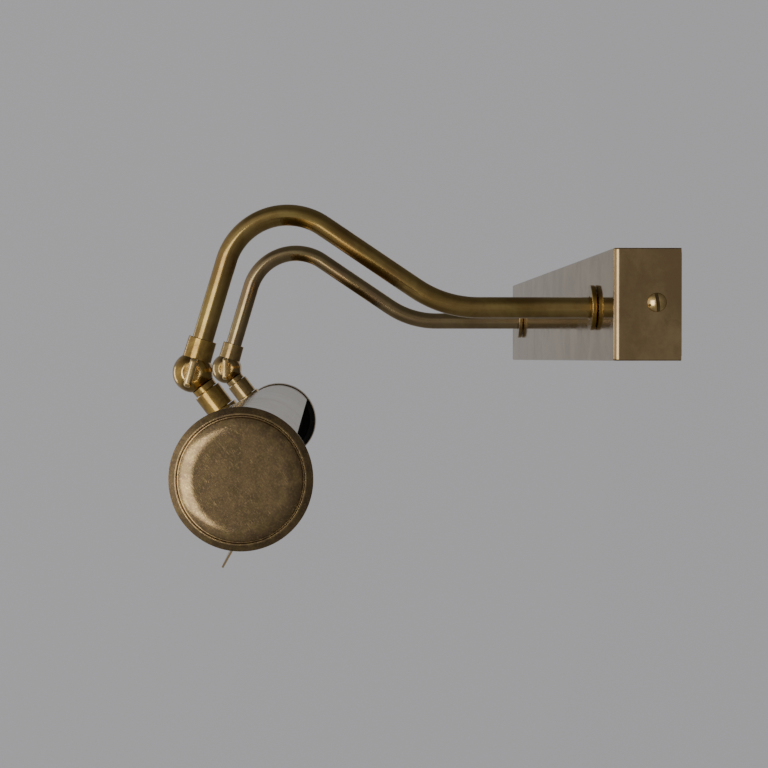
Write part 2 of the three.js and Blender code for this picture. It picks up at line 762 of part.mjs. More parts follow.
function lightChannel() {
  const half = CHANNEL_WIDTH / 2;
  const bottom = -CHANNEL_TOP - CHANNEL_HEIGHT;
  const floor = -CHANNEL_TOP - CHANNEL_WALL;
  const reach = CHANNEL_LENGTH / 2;
  let body = block(at(-reach, -half, bottom), at(reach, half, -CHANNEL_TOP));
  body = body.subtract(block(
    at(-reach - OVERRUN, -half + CHANNEL_WALL, bottom - OVERRUN),
    at(reach + OVERRUN, half - CHANNEL_WALL, floor),
  ));
  for (const sign of Object.values(SIDES)) {
    const stemX = sign * ARM_X;
    const screwX = sign * (ARM_X - STRAP_SCREW_OFFSET);
    body = body.subtract(rod(CABLE_BORE, at(stemX, 0, 0), at(stemX, 0, floor - OVERRUN)));
    body = body.subtract(rod(smallScrewShank + GAP, at(screwX, 0, 0), at(screwX, 0, floor - OVERRUN)));
  }
  return body;
}

const channelInside = CHANNEL_WIDTH / 2 - CHANNEL_WALL - GAP;
const boardTop = -CHANNEL_TOP - CHANNEL_WALL - GAP;
const channelBottom = -CHANNEL_TOP - CHANNEL_HEIGHT;

function diffuser() {
  const outline = new THREE.Shape();
  const top = channelBottom + DIFFUSER_THICKNESS;
  outline.moveTo(-channelInside, top);
  outline.lineTo(-channelInside, channelBottom);
  outline.quadraticCurveTo(0, channelBottom - 2.4, channelInside, channelBottom);
  outline.lineTo(channelInside, top);
  outline.closePath();
  return alongX(outline, -CHANNEL_LENGTH / 2, CHANNEL_LENGTH / 2, 6);
}

addPart(head, 'heat_sink', lightChannel(), aluminium);
addPart(head, 'led_board', block(
  at(-CHANNEL_LENGTH / 2, -channelInside, boardTop - BOARD_THICKNESS),
  at(CHANNEL_LENGTH / 2, channelInside, boardTop),
), boardWhite);
addPart(head, 'diffuser', diffuser(), opal);
addPart(head, 'shade_cable', rod(
  LEAD_RADIUS,
  at(ARM_X, 0, -BALL_RADIUS - 2 * GAP),
  at(ARM_X, 0, boardTop + GAP),
  8,
), leadSleeve);

const shadeFrame = addGroup(head, 0, 0, -SHADE_DROP);
addPart(shadeFrame, 'shade_trough', shadeTrough(), shadeBrass);

for (const [side, sign] of Object.entries(SIDES)) {
  const outwardX = at(sign, 0, 0);
  addPart(shadeFrame, `end_cap_${side}`, endCap(outwardX, at(sign * SHADE_LENGTH / 2, 0, 0)), agedBrass);

  const stem = addGroup(head, sign * ARM_X, 0, 0);
  const nutSeat = STRAP_TOP + STRAP_SHEET + GAP;
  const collar = ring(UPPER_NECK_RADIUS, stemBore, down(COLLAR_START), down(COLLAR_END));
  const stemNut = nut(13, stemBore, down(nutSeat), down(STEM_REACH - GAP));
  addPart(stem, `knuckle_lower_${side}`, lowerKnuckle(), agedBrass);
  addPart(stem, `stem_collar_${side}`, collar, agedBrass);
  addPart(stem, `saddle_washer_${side}`, saddleWasher(), agedBrass);
  addPart(stem, `stem_washer_${side}`, stemWasher(), zincSteel);
  addPart(stem, `lamp_bracket_${side}`, lampBracket(sign), zincSteel);
  addPart(stem, `stem_nut_${side}`, stemNut, zincSteel);

  const bracketScrew = addPart(
    stem,
    `bracket_screw_${side}`,
    slottedScrew(2.8, 1.8, smallScrewShank, 3.8, 0.8),
    zincSteel,
  );
  bracketScrew.position.set(-sign * STRAP_SCREW_OFFSET, 0, -(STRAP_TOP + STRAP_STEP - GAP));
  bracketScrew.rotation.x = Math.PI / 2;

  const plateX = CHANNEL_LENGTH / 2 + GAP;
  const plate = block(
    at(Math.min(sign * plateX, sign * (plateX + 2)), -CHANNEL_WIDTH / 2, channelBottom),
    at(Math.max(sign * plateX, sign * (plateX + 2)), CHANNEL_WIDTH / 2, -CHANNEL_TOP),
  );
  addPart(head, `channel_end_${side}`, plate, whitePlastic);
}

export default light;
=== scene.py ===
import json
import math

import bmesh
import bpy
from mathutils import Matrix, Vector

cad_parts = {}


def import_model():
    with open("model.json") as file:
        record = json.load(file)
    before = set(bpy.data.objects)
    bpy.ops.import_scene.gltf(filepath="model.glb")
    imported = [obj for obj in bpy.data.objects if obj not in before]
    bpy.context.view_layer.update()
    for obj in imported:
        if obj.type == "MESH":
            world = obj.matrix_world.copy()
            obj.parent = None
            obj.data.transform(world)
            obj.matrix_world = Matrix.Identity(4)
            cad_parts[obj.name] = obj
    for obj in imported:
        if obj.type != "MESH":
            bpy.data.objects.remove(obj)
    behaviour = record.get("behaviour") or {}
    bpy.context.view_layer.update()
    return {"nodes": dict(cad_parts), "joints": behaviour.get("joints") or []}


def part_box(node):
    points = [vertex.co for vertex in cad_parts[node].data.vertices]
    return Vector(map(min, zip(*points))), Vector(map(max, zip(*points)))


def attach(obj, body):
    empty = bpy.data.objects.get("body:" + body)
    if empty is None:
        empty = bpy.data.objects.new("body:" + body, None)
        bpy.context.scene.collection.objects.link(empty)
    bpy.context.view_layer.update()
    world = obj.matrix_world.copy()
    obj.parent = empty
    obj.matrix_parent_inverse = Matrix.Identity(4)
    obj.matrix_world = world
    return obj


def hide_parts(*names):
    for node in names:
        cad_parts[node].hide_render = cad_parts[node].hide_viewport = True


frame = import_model()

# ---- sizes
# Metres, in the frame's own axes: X along the light, +Y into the wall, +Z up.

MM = 0.001
SIDES = {"right": 1, "left": -1}

# From the frame
joints = {joint["name"]: joint for joint in frame["joints"]}
HINGE = Vector(joints["shade_tilt"]["pos_m"])
ARM_X = sum(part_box("wall_disc_right"), Vector()).x / 2
SHADE_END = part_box("end_cap_right")[1].x
TROUGH_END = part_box("shade_trough")[1].x
BOX_LOW, BOX_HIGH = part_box("backplate_cover")
BOX_FRONT = BOX_LOW.y
CHANNEL_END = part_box("heat_sink")[1].x
SCREW_POINT = sum(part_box("cover_screw_right"), Vector()) / 2

GAP = 0.3 * MM
SCREW_HOLE_RADIUS = 2.3 * MM
SMALL_HOLE_RADIUS = 1.8 * MM

# Wall box
BOX_SHEET = 1.5 * MM
BOX_BEND = 2.8 * MM
BOX_FOLD = 0.8 * MM
COVER_SCREW_HEAD = 4.25 * MM
COVER_SCREW_SLOT = 1.5 * MM
COVER_SCREW_TURN = math.radians(8)
BRACKET_SHEET = 2 * MM
BRACKET_TAB_REACH = 21 * MM
BRACKET_TAB_HEIGHT = 30 * MM
WALL_SLOT_X = 105 * MM
WALL_SLOT_LENGTH = 12 * MM
WALL_SLOT_WIDTH = 5 * MM
CABLE_ENTRY_X = 38 * MM
CABLE_ENTRY_RADIUS = 8 * MM
GROMMET_WALL = 2.5 * MM
GROMMET_LIP = 2.8 * MM
GROMMET_LIP_SHEET = 1.5 * MM
EARTH_X = 62 * MM
DRIVER_SCREW_X = (-136.5 * MM, -23.5 * MM)

# Arms
TUBE_RADIUS = 5 * MM
TUBE_SIDES = 48
ARM_START = -21 * MM
ARM_RUN = 64.6 * MM
LOWER_BEND = math.radians(33.9)
LOWER_BEND_RADIUS = 53 * MM
ARM_RISE = 52.4 * MM
UPPER_BEND = math.radians(107.2)
UPPER_BEND_RADIUS = 30 * MM
BEND_STEP = math.radians(3)
ARM_LEG = 44.3 * MM
ARM_LEAN = math.radians(90) + LOWER_BEND - UPPER_BEND
DISC_RADIUS = 10.7 * MM
DISC_THICKNESS = 2.3 * MM

# Knuckles
BALL_RADIUS = 9.5 * MM
BALL_SPLIT = 0.6 * MM
NECK_CREASE = 0.15 * MM
FRICTION_RADIUS = 7 * MM
UPPER_NECK_RADIUS = 6.7 * MM
UPPER_NECK_REACH = 16.3 * MM
TUBE_END_TO_BALL = 10.5 * MM
LOWER_NECK_RADIUS = 5.7 * MM
LOWER_NECK_REACH = 10.7 * MM
STEM_RADIUS = 4 * MM
STEM_REACH = 30.2 * MM
SHANK_RADIUS = 2.5 * MM
SHANK_HOLE_RADIUS = 2.8 * MM
SHANK_REACH = 6 * MM
BORE_REACH = 12 * MM
HUB_RADIUS = 4.9 * MM
HUB_SEAT = 8.1 * MM
HUB_THICKNESS = 2.2 * MM
HUB_DISH = math.radians(9)
HUB_RIM = 0.9 * MM
WING_LENGTH = 14.4 * MM
WING_THICKNESS = 3.4 * MM
WING_REACH = 18 * MM
WING_TAPER = 1.0 * MM
WING_ROOT = 2 * MM
WING_TIP_RADIUS = 2.2 * MM
WING_ROOT_RADIUS = 1.6 * MM
WING_BEVEL = 1.2 * MM
WING_TURN = {"right": math.radians(-15.5), "left": math.radians(-1)}

# Shade
HEAD_TILT = math.radians(37.4)
SHADE_DROP = 48.9 * MM
TROUGH_RADIUS = 26 * MM
TROUGH_SHEET = 0.8 * MM
TROUGH_ANGLE = math.radians(228.4)
LIP_LEAN = math.radians(25.2)
LIP_REACH = 10.4 * MM
LIP_RUN = 2.4 * MM
CAP_RADIUS = 27.3 * MM
CAP_DEPTH = 11 * MM
CAP_FACE = 5.1 * MM
CAP_DOME = 0.15 * MM
CAP_FLAT_RADIUS = 17 * MM
CAP_SHOULDER = 6.1 * MM
CAP_SHOULDER_SLOPE = math.radians(30)
CAP_SHOULDER_POWER = 1.25
COLLAR_START = 11 * MM
COLLAR_END = 21.6 * MM
SADDLE_RADIUS = 7.8 * MM
SADDLE_END = 26 * MM
STEM_NUT_FLATS = 13 * MM

# Light channel
STRAP_TOP = 26 * MM
STRAP_SHEET = 1.2 * MM
STRAP_STEP = 2.8 * MM
STRAP_WIDTH = 13 * MM
STRAP_SCREW = 26 * MM
STRAP_BACK = 9 * MM
STRAP_STEP_AT = 13 * MM
STRAP_PAST_SCREW = 7 * MM
CHANNEL_TOP = 30.5 * MM
CHANNEL_HEIGHT = 9 * MM
CHANNEL_WIDTH = 22 * MM
CHANNEL_WALL = 2 * MM
CHANNEL_CAP = 2 * MM
LENS_CROWN = 1.2 * MM
LENS_DEPTH = 3 * MM

# Camera and studio
STUDIO_CENTRE = Vector((0, -0.13, -0.02))
ROOM_FLOOR = -0.9
ROOM_RADIUS = 3.2
ROOM_COVE = 1.0
ROOM_TOP = 2.6
ROOM_COLOUR = (0.32, 0.32, 0.32)
ROOM_GLOW = 0.275
WORLD_COLOUR = (0.9, 0.9, 1.0, 1)
WORLD_GLOW = 0.3
# Each soft box: name, bearing from +X and elevation in degrees, distance, size, glow, colour
SOFT_LIGHTS = (
    ("window_front", -31, -3, 1.6, (1.0, 1.2), 2.4, (1.0, 0.98, 0.95)),
    ("window_left", -119, -6, 1.6, (0.36, 1.15), 2.2, (1.0, 0.98, 0.98)),
    ("window_back", 151, 12, 1.6, (0.9, 1.1), 0.5, (1.0, 0.98, 0.96)),
)
DRUM_RADIUS = 1.75
DRUM_LOW = -0.86
DRUM_HIGH = 0.9
# Glow of the fill cloth: overhead, underfoot, and by bearing from +X in degrees
FILL_ABOVE = 0.10
FILL_BELOW = 0.15
FILL_AROUND = (
    (-180, 0.31),
    (-145, 0.33),
    (-112, 0.6),
    (-60, 0.7),
    (-45, 0.75),
    (-12, 0.5),
    (2, 0.27),
    (22, 0.22),
    (42, 0.15),
    (75, 0.10),
    (135, 0.08),
    (165, 0.2),
    (180, 0.31),
)
CAMERA_POINT = Vector((1.0675, -0.1608, -0.0238))
CAMERA_LENS = 90
CAMERA_SENSOR = 36
CAMERA_PAN = 0.0339
CAMERA_DIP = 0.0135


# ---- meshes


def new_piece(name, bm, smooth_angle=32):
    """A mesh object from a bmesh, shaded smooth except at edges sharper than the angle."""
    bmesh.ops.recalc_face_normals(bm, faces=bm.faces)
    mesh = bpy.data.meshes.new(name)
    bm.to_mesh(mesh)
    bm.free()
    piece = bpy.data.objects.new(name, mesh)
    bpy.context.scene.collection.objects.link(piece)
    shade(piece, smooth_angle)
    return piece


def shade(piece, smooth_angle=32):
    piece.data.shade_smooth()
    piece.data.set_sharp_from_angle(angle=math.radians(smooth_angle))


def filleted(corners, steps=6):
    """The outline through (a, b, radius) corners, each rounded to its radius."""
    points = []
    for i, (a, b, radius) in enumerate(corners):
        here = Vector((a, b))
        if radius == 0:
            points.append(here)
            continue
        before = (Vector(corners[i - 1][:2]) - here).normalized()
        after = (Vector(corners[(i + 1) % len(corners)][:2]) - here).normalized()
        half = before.angle(after) / 2
        centre = here + (before + after).normalized() * (radius / math.sin(half))
        start = here + before * (radius / math.tan(half)) - centre
        end = here + after * (radius / math.tan(half)) - centre
        for step in range(steps + 1):
            points.append(centre + start.lerp(end, step / steps).normalized() * radius)
    return points


def arc(radius, start, end, steps, centre=(0, 0)):
    """Points of an arc, angles in radians."""
    angles = [start + (end - start) * i / steps for i in range(steps + 1)]
    return [
        Vector((centre[0] + radius * math.cos(a), centre[1] + radius * math.sin(a)))
        for a in angles
    ]


def revolve(name, outline, sides=96, closed=False, smooth_angle=32):
    """Turns an outline of (radius, height) about local Z."""
    bm = bmesh.new()
    rings = []
    for radius, height in outline:
        if radius < 1e-7:
            rings.append([bm.verts.new((0, 0, height))])
            continue
        angles = [2 * math.pi * i / sides for i in range(sides)]
        rings.append(
            [bm.verts.new((radius * math.cos(a), radius * math.sin(a), height)) for a in angles]
        )
    following = rings[1:] + (rings[:1] if closed else [])
    for lower, upper in zip(rings, following):
        for i in range(sides):
            j = (i + 1) % sides
            if len(lower) == 1 and len(upper) == 1:
                continue
            if len(lower) == 1:
                bm.faces.new((lower[0], upper[j], upper[i]))
            elif len(upper) == 1:
                bm.faces.new((lower[i], lower[j], upper[0]))
            else:
                bm.faces.new((lower[i], lower[j], upper[j], upper[i]))
    return new_piece(name, bm, smooth_angle)


def prism(name, outline, start, end):
    """Extrudes a closed outline of (y, z) along local X."""
    bm = bmesh.new()
    rings = [[bm.verts.new((x, y, z)) for y, z in outline] for x in (start, end)]
    count = len(outline)
    for i in range(count):
        j = (i + 1) % count
        bm.faces.new((rings[0][i], rings[0][j], rings[1][j], rings[1][i]))
    bm.faces.new(rings[0])
    bm.faces.new(rings[1])
    return new_piece(name, bm)


def round_edges(bm, edges, radius, segments):
    bmesh.ops.bevel(bm, geom=edges, offset=radius, segments=segments, affect="EDGES", profile=0.5)


def cuboid(name, low, high, bevel=0.0, segments=3):
    """A block between two corners, with all its edges rounded when a bevel is given."""
    bm = bmesh.new()
    bmesh.ops.create_cube(bm, size=1)
    low, high = Vector(low), Vector(high)
    size = high - low
    for vert in bm.verts:
        vert.co = Vector(((low + high) / 2)[k] + vert.co[k] * size[k] for k in range(3))
    if bevel:
        round_edges(bm, list(bm.edges), bevel, segments)
    return new_piece(name, bm)


def bake_modifiers(piece):
    depsgraph = bpy.context.evaluated_depsgraph_get()
    mesh = bpy.data.meshes.new_from_object(piece.evaluated_get(depsgraph))
    mesh.name = piece.name
    piece.modifiers.clear()
    piece.data = mesh
    return piece


def carve(piece, cutter, operation="DIFFERENCE", smooth_angle=32):
    """Cuts one piece by another, or joins them, and drops the other."""
    bpy.context.view_layer.update()
    modifier = piece.modifiers.new("carve", "BOOLEAN")
    modifier.object = cutter
    modifier.operation = operation
    modifier.solver = "EXACT"
    bake_modifiers(piece)
    bpy.data.objects.remove(cutter)
    shade(piece, smooth_angle)
    return piece


def place(piece, matrix):
    piece.matrix_world = matrix
    bpy.context.view_layer.update()
    return piece


def apply_place(piece, matrix):
    """Moves the mesh itself, so that the piece keeps its parent's local axes."""
    piece.data.transform(matrix)
    return piece


Z_TO_X = Matrix.Rotation(math.radians(90), 4, "Y")
Z_TO_MINUS_X = Matrix.Rotation(math.radians(-90), 4, "Y")
Z_TO_MINUS_Y = Matrix.Rotation(math.radians(90), 4, "X")
XY_TO_ZX = Matrix(((0, 1, 0, 0), (0, 0, 1, 0), (1, 0, 0, 0), (0, 0, 0, 1)))
XY_TO_YX = Matrix(((0, 1, 0, 0), (1, 0, 0, 0), (0, 0, 1, 0), (0, 0, 0, 1)))


def move(x, y, z):
    return Matrix.Translation((x, y, z))


def z_outwards(sign):
    """Turns local Z to the right or to the left end of the light."""
    return Z_TO_X if sign > 0 else Z_TO_MINUS_X


def head_at(x):
    """The tilted shade head's axes at a point of the hinge line."""
    return move(x, HINGE.y, HINGE.z) @ Matrix.Rotation(HEAD_TILT, 4, "X")


def bar(name, radius, start, end, sides=64):
    """A round bar along local Z."""
    corners = ((0, start), (radius, start), (radius, end), (0, end))
    return revolve(name, [Vector(corner) for corner in corners], sides)


def washer(name, outer, inner, start, end, edge):
    """A ring along local Z whose four rims are rounded to the edge radius."""
    corners = ((inner, start), (outer, start), (outer, end), (inner, end))
    outline = filleted([(*corner, edge) for corner in corners], steps=4)
    return revolve(name, outline, closed=True)


def drill(piece, radius, start, end, at, smooth_angle=32):
    """Cuts a round hole along the local Z of a placement."""
    hole = place(bar("hole", radius, start, end), at)
    return carve(piece, hole, smooth_angle=smooth_angle)


# ---- materials


class Nodes:
    """A small helper that lays out one node material."""

    def __init__(self, name):
        self.material = bpy.data.materials.new(name)
        self.material.use_nodes = True
        self.tree = self.material.node_tree
        self.shader = self.tree.nodes["Principled BSDF"]

    def add(self, kind, **settings):
        node = self.tree.nodes.new(kind)
        for key, value in settings.items():
            setattr(node, key, value)
        return node

    def link(self, output, target):
        self.tree.links.new(output, target)

    def coordinates(self, stretch=(1, 1, 1), attribute=None, turn=(0, 0, 0)):
        """Object coordinates, or a stored attribute's, scaled by a stretch."""
        if attribute:
            source = self.add("ShaderNodeAttribute", attribute_name=attribute).outputs["Vector"]
        else:
            source = self.add("ShaderNodeTexCoord").outputs["Object"]
        mapping = self.add("ShaderNodeMapping")
        mapping.inputs["Scale"].default_value = stretch
        mapping.inputs["Rotation"].default_value = turn
        self.link(source, mapping.inputs["Vector"])
        return mapping.outputs["Vector"]

    def noise(self, vector, scale, detail=4.0, roughness=0.55, distortion=0.0):
        node = self.add("ShaderNodeTexNoise")
        node.inputs["Scale"].default_value = scale
        node.inputs["Detail"].default_value = detail
        node.inputs["Roughness"].default_value = roughness
        node.inputs["Distortion"].default_value = distortion
        self.link(vector, node.inputs["Vector"])
        return node.outputs["Fac"]

    def span(self, value, low, high, out_low=0.0, out_high=1.0):
        """Maps a value from one range to another, clamped."""
        node = self.add("ShaderNodeMapRange")
        for socket, number in zip(
            ("From Min", "From Max", "To Min", "To Max"), (low, high, out_low, out_high)
        ):
            node.inputs[socket].default_value = number
        self.link(value, node.inputs["Value"])
        return node.outputs["Result"]

    def feed(self, value, target):
        """Gives a socket a number or a colour, or links it to an output."""
        if isinstance(value, (int, float)):
            target.default_value = value
        elif isinstance(value, tuple):
            target.default_value = (*value, 1.0)
        else:
            self.link(value, target)

    def math(self, operation, a, b):
        node = self.add("ShaderNodeMath", operation=operation)
        self.feed(a, node.inputs[0])
        self.feed(b, node.inputs[1])
        return node.outputs["Value"]

    def mix(self, factor, first, second, blend="MIX"):
        """Blends two colours; the RGBA sockets of the node are 6 and 7, and its output is 2."""
        node = self.add("ShaderNodeMix", data_type="RGBA", blend_type=blend)
        self.link(factor, node.inputs["Factor"])
        self.feed(first, node.inputs[6])
        self.feed(second, node.inputs[7])
        return node.outputs[2]

    def bump(self, height, strength, distance, normal=None):
        node = self.add("ShaderNodeBump")
        node.inputs["Strength"].default_value = strength
        node.inputs["Distance"].default_value = distance
        self.link(height, node.inputs["Height"])
        if normal is not None:
            self.link(normal, node.inputs["Normal"])
        return node.outputs["Normal"]

    def set(self, **values):
        """Sets the shader's own sockets, named with underscores for spaces."""
        for key, value in values.items():
            self.shader.inputs[key.replace("_", " ")].default_value = value

    def surface(self, colour, roughness, normal):
        """Links the colour, the roughness and the bumped normal to the shader."""
        self.link(colour, self.shader.inputs["Base Color"])
        self.link(roughness, self.shader.inputs["Roughness"])
        self.link(normal, self.shader.inputs["Normal"])


def aged_brass(
    name,
    clean,
    brown,
    roughness,
    cloud,
    stain=(0.16, 0.10, 0.055),
    streak=(1, 1, 1),
    streak_strength=0.5,
    spread=0.22,
    stain_amount=0.5,
    scratches=0.4,
    attribute=None,
    relief=0.04,
    olive=0.5,
    coat=0.12,
    grain=0.0,
    scratch_shape=(1, 34, 34),
    scratch_level=0.68,
):
    """Brass under a thin patina: clouds, streaks along the work, fine scratches and stains."""
    n = Nodes(name)
    plain = n.coordinates(attribute=attribute)
    along = n.coordinates(stretch=streak, attribute=attribute)
    clouds = n.noise(plain, cloud, detail=5, roughness=0.6, distortion=0.6)
    drawn = n.noise(along, 60, detail=4, roughness=0.6)
    fine = n.noise(plain, cloud * 14, detail=3, roughness=0.7)
    spots = n.noise(plain, cloud * 4.2, detail=6, roughness=0.72, distortion=1.2)

    patina = n.math("ADD", n.math("MULTIPLY", drawn, streak_strength), clouds)
    patina = n.math("ADD", patina, n.math("MULTIPLY", fine, 0.18))
    middle = 0.5 + streak_strength * 0.5 + 0.09
    patina = n.span(patina, middle - spread, middle + spread)
    stained = n.span(spots, 0.56, 0.76, 0.0, stain_amount)
    colour = n.mix(stained, n.mix(patina, clean, brown), stain)
    patches = n.noise(plain, cloud * 0.9, detail=4, roughness=0.6, distortion=0.8)
    colour = n.mix(n.span(patches, 0.46, 0.62, 0.0, olive), colour, (0.90, 1.0, 0.78), "MULTIPLY")

    lines = []
    for turn, size in ((0.35, 1.0), (1.45, 1.25), (2.5, 0.85)):
        angles = (turn, turn * 0.7, turn * 1.3)
        line = n.noise(
            n.coordinates(stretch=scratch_shape, attribute=attribute, turn=angles), 60 * size, detail=2
        )
        lines.append(n.span(line, scratch_level, scratch_level + 0.07))
    worn = n.math("MAXIMUM", n.math("MAXIMUM", lines[0], lines[1]), lines[2])
    worn = n.math("MULTIPLY", worn, n.span(n.noise(plain, cloud * 1.7, detail=2), 0.42, 0.62))
    bright = tuple(min(1.0, c * 1.6) for c in clean)
    colour = n.mix(n.math("MULTIPLY", worn, scratches), colour, bright)
    if grain:
        specks = n.noise(plain, 1300, detail=3, roughness=0.65)
        colour = n.mix(n.span(specks, 0.42, 0.6, 0.0, grain), colour, (0.62, 0.60, 0.60), "MULTIPLY")
        colour = n.mix(n.span(specks, 0.42, 0.34, 0.0, grain), colour, bright)

    rough = n.span(patina, 0, 1, roughness, roughness + 0.07)
    rough = n.math("ADD", rough, n.math("MULTIPLY", stained, 0.16))
    rough = n.math("ADD", rough, n.math("MULTIPLY", n.math("SUBTRACT", fine, 0.5), 0.1))

    height = n.math("SUBTRACT", n.math("ADD", drawn, fine), n.math("MULTIPLY", worn, 0.5))
    n.surface(colour, rough, n.bump(spots, relief, 0.0005, n.bump(height, relief, 0.0006)))
    n.set(Metallic=1.0, Coat_Weight=coat, Coat_Roughness=0.1, Coat_IOR=1.45)
    return n.material


def dark_inside():
    """Near-black satin on the faces inside the shade."""
    n = Nodes("shade_inside")
    plain = n.coordinates()
    clouds = n.noise(plain, 40, detail=5, roughness=0.6)
    fine = n.noise(plain, 900, detail=2)
    colour = n.mix(clouds, (0.006, 0.005, 0.0035), (0.014, 0.010, 0.007))
    n.surface(colour, n.span(clouds, 0.3, 0.7, 0.45, 0.62), n.bump(fine, 0.15, 0.0002))
    n.set(Metallic=0.0, IOR=1.45)
    return n.material


def plated_steel(name, grain, tint=(0.56, 0.57, 0.57), roughness=0.34):
    """Zinc plated steel with a faint grain and dull bloom."""
    n = Nodes(name)
    plain = n.coordinates()
    lined = n.noise(n.coordinates(stretch=grain), 40, detail=5, roughness=0.7)
    bloom = n.noise(plain, 60, detail=5, roughness=0.6, distortion=0.5)
    dull = tuple(c * 0.78 for c in tint)
    colour = n.mix(n.span(bloom, 0.35, 0.68), tint, dull)
    colour = n.mix(n.span(lined, 0.3, 0.7, 0.0, 0.35), colour, tuple(c * 0.7 for c in tint))
    rough = n.span(bloom, 0.3, 0.7, roughness, roughness + 0.16)
    n.surface(colour, rough, n.bump(lined, 0.06, 0.0004))
    n.set(Metallic=1.0)
    return n.material


def moulded(name, colour, roughness=0.5, speck=0.04, coat=0.0):
    """Moulded plastic or rubber with a fine texture and slight colour drift."""
    n = Nodes(name)
    plain = n.coordinates()
    drift = n.noise(plain, 30, detail=4)
    fine = n.noise(plain, 1400, detail=2)
    darker = tuple(max(0.0, c - speck) for c in colour)
    rough = n.span(drift, 0.3, 0.7, roughness - 0.05, roughness + 0.08)
    n.surface(n.mix(drift, colour, darker), rough, n.bump(fine, 0.12, 0.0002))
    n.set(Metallic=0.0, Coat_Weight=coat)
    return n.material


def woven_sleeve():
    """Braided sleeve over two cores."""
    n = Nodes("lead_sleeve")
    weave = []
    for turn in (0.8, -0.8):
        wave = n.add("ShaderNodeTexWave", wave_type="BANDS", bands_direction="X")
        wave.inputs["Scale"].default_value = 420
        wave.inputs["Distortion"].default_value = 0.4
        n.link(n.coordinates(turn=(turn, turn, turn)), wave.inputs["Vector"])
        weave.append(wave.outputs["Fac"])
    both = n.math("MULTIPLY", weave[0], weave[1])
    colour = n.mix(both, (0.10, 0.075, 0.045), (0.30, 0.23, 0.14))
    n.surface(colour, n.span(both, 0, 1, 0.75, 0.6), n.bump(both, 0.4, 0.0003))
    n.set(Sheen_Weight=0.2)
    return n.material


def opal_plastic():
    """Opal diffuser: soft, milky, slightly uneven."""
    n = Nodes("opal_diffuser")
    drift = n.noise(n.coordinates(stretch=(0.3, 1, 1)), 22, detail=3)
    fine = n.noise(n.coordinates(), 1200, detail=2)
    colour = n.mix(drift, (0.86, 0.85, 0.81), (0.78, 0.77, 0.73))
    n.surface(colour, n.span(drift, 0.3, 0.7, 0.28, 0.36), n.bump(fine, 0.08, 0.0002))
    n.set(Subsurface_Weight=0.3, Subsurface_Scale=0.004, IOR=1.49)
    return n.material


box_brass = aged_brass(
    "box_brass",
    clean=(0.50, 0.36, 0.185),
    brown=(0.36, 0.245, 0.125),
    stain=(0.27, 0.17, 0.09),
    roughness=0.07,
    cloud=38,
    streak_strength=0.05,
    spread=0.13,
    scratches=0.2,
    relief=0.003,
    olive=0.2,
    coat=0.05,
)
# Both arms are the same brass; the left arm's greyer, less saturated colours are a painted reflection,
# standing in for how light falls on that side.
arm_looks_with_painted_reflection = {
    "right": dict(clean=(0.45, 0.315, 0.115), brown=(0.29, 0.18, 0.062), stain=(0.23, 0.14, 0.055)),
    "left": dict(clean=(0.41, 0.305, 0.16), brown=(0.30, 0.205, 0.11), stain=(0.24, 0.17, 0.10)),
}
arm_brass = {
    side: aged_brass(
        f"arm_brass_{side}",
        **looks,
        roughness=0.11,
        cloud=40,
        streak=(0.25, 9, 9),
        spread=0.14,
        attribute="straight",
        relief=0.03,
        olive=0.45,
    )
    for side, looks in arm_looks_with_painted_reflection.items()
}
# Both knuckles are the same brass; the left side's greyer, less saturated colours are a painted
# reflection, standing in for how light falls on that side.
joint_looks_with_painted_reflection = {
    "right": dict(clean=(0.49, 0.32, 0.09), brown=(0.27, 0.16, 0.05), stain=(0.15, 0.09, 0.035)),
    "left": dict(clean=(0.44, 0.31, 0.13), brown=(0.29, 0.185, 0.08), stain=(0.16, 0.105, 0.05)),
}
joint_brass = {
    side: aged_brass(
        f"joint_brass_{side}",
        **looks,
        roughness=0.10,
        cloud=110,
        streak=(6, 6, 1),
        streak_strength=0.4,
        spread=0.13,
        stain_amount=0.8,
        relief=0.03,
    )
    for side, looks in joint_looks_with_painted_reflection.items()
}
screw_brass = aged_brass(
    "screw_brass",
    clean=(0.84, 0.61, 0.28),
    brown=(0.58, 0.39, 0.16),
    stain=(0.30, 0.19, 0.08),
    roughness=0.10,
    cloud=160,
    streak_strength=0.3,
    spread=0.12,
    scratches=0.6,
    coat=0.05,
)
# Near-black brass for screw slots: painted shade that darkens the recess.
slot_painted_shade = aged_brass(
    "slot_painted_shade",
    clean=(0.16, 0.11, 0.05),
    brown=(0.09, 0.06, 0.03),
    stain=(0.05, 0.035, 0.02),
    roughness=0.35,
    cloud=220,
    scratches=0.2,
)
shade_brass = aged_brass(
    "shade_brass",
    clean=(0.46, 0.34, 0.20),
    brown=(0.38, 0.27, 0.15),
    roughness=0.09,
    cloud=14,
    streak=(0.2, 6, 6),
    streak_strength=0.25,
    stain_amount=0.25,
    scratches=0.2,
    relief=0.012,
)
cap_brass = aged_brass(
    "cap_brass",
    clean=(0.375, 0.262, 0.128),
    brown=(0.255, 0.175, 0.10),
    stain=(0.13, 0.085, 0.047),
    roughness=0.10,
    cloud=190,
    streak_strength=0.2,
    spread=0.12,
    stain_amount=0.8,
    scratches=0.9,
    relief=0.06,
    coat=0.05,
    grain=0.42,
    scratch_shape=(5, 40, 40),
    scratch_level=0.63,
)
inside_black = dark_inside()
fixing_steel = plated_steel("fixing_steel", (10, 10, 10))
bracket_steel = plated_steel("bracket_steel", (1, 30, 30))
channel_aluminium = plated_steel("channel_aluminium", (0.4, 50, 50), (0.74, 0.75, 0.76), 0.3)
driver_plastic = moulded("driver_plastic", (0.80, 0.79, 0.75))
terminal_plastic = moulded("terminal_plastic", (0.78, 0.77, 0.71), roughness=0.4)
grommet_rubber = moulded("grommet_rubber", (0.05, 0.05, 0.05), roughness=0.7, speck=0.01)
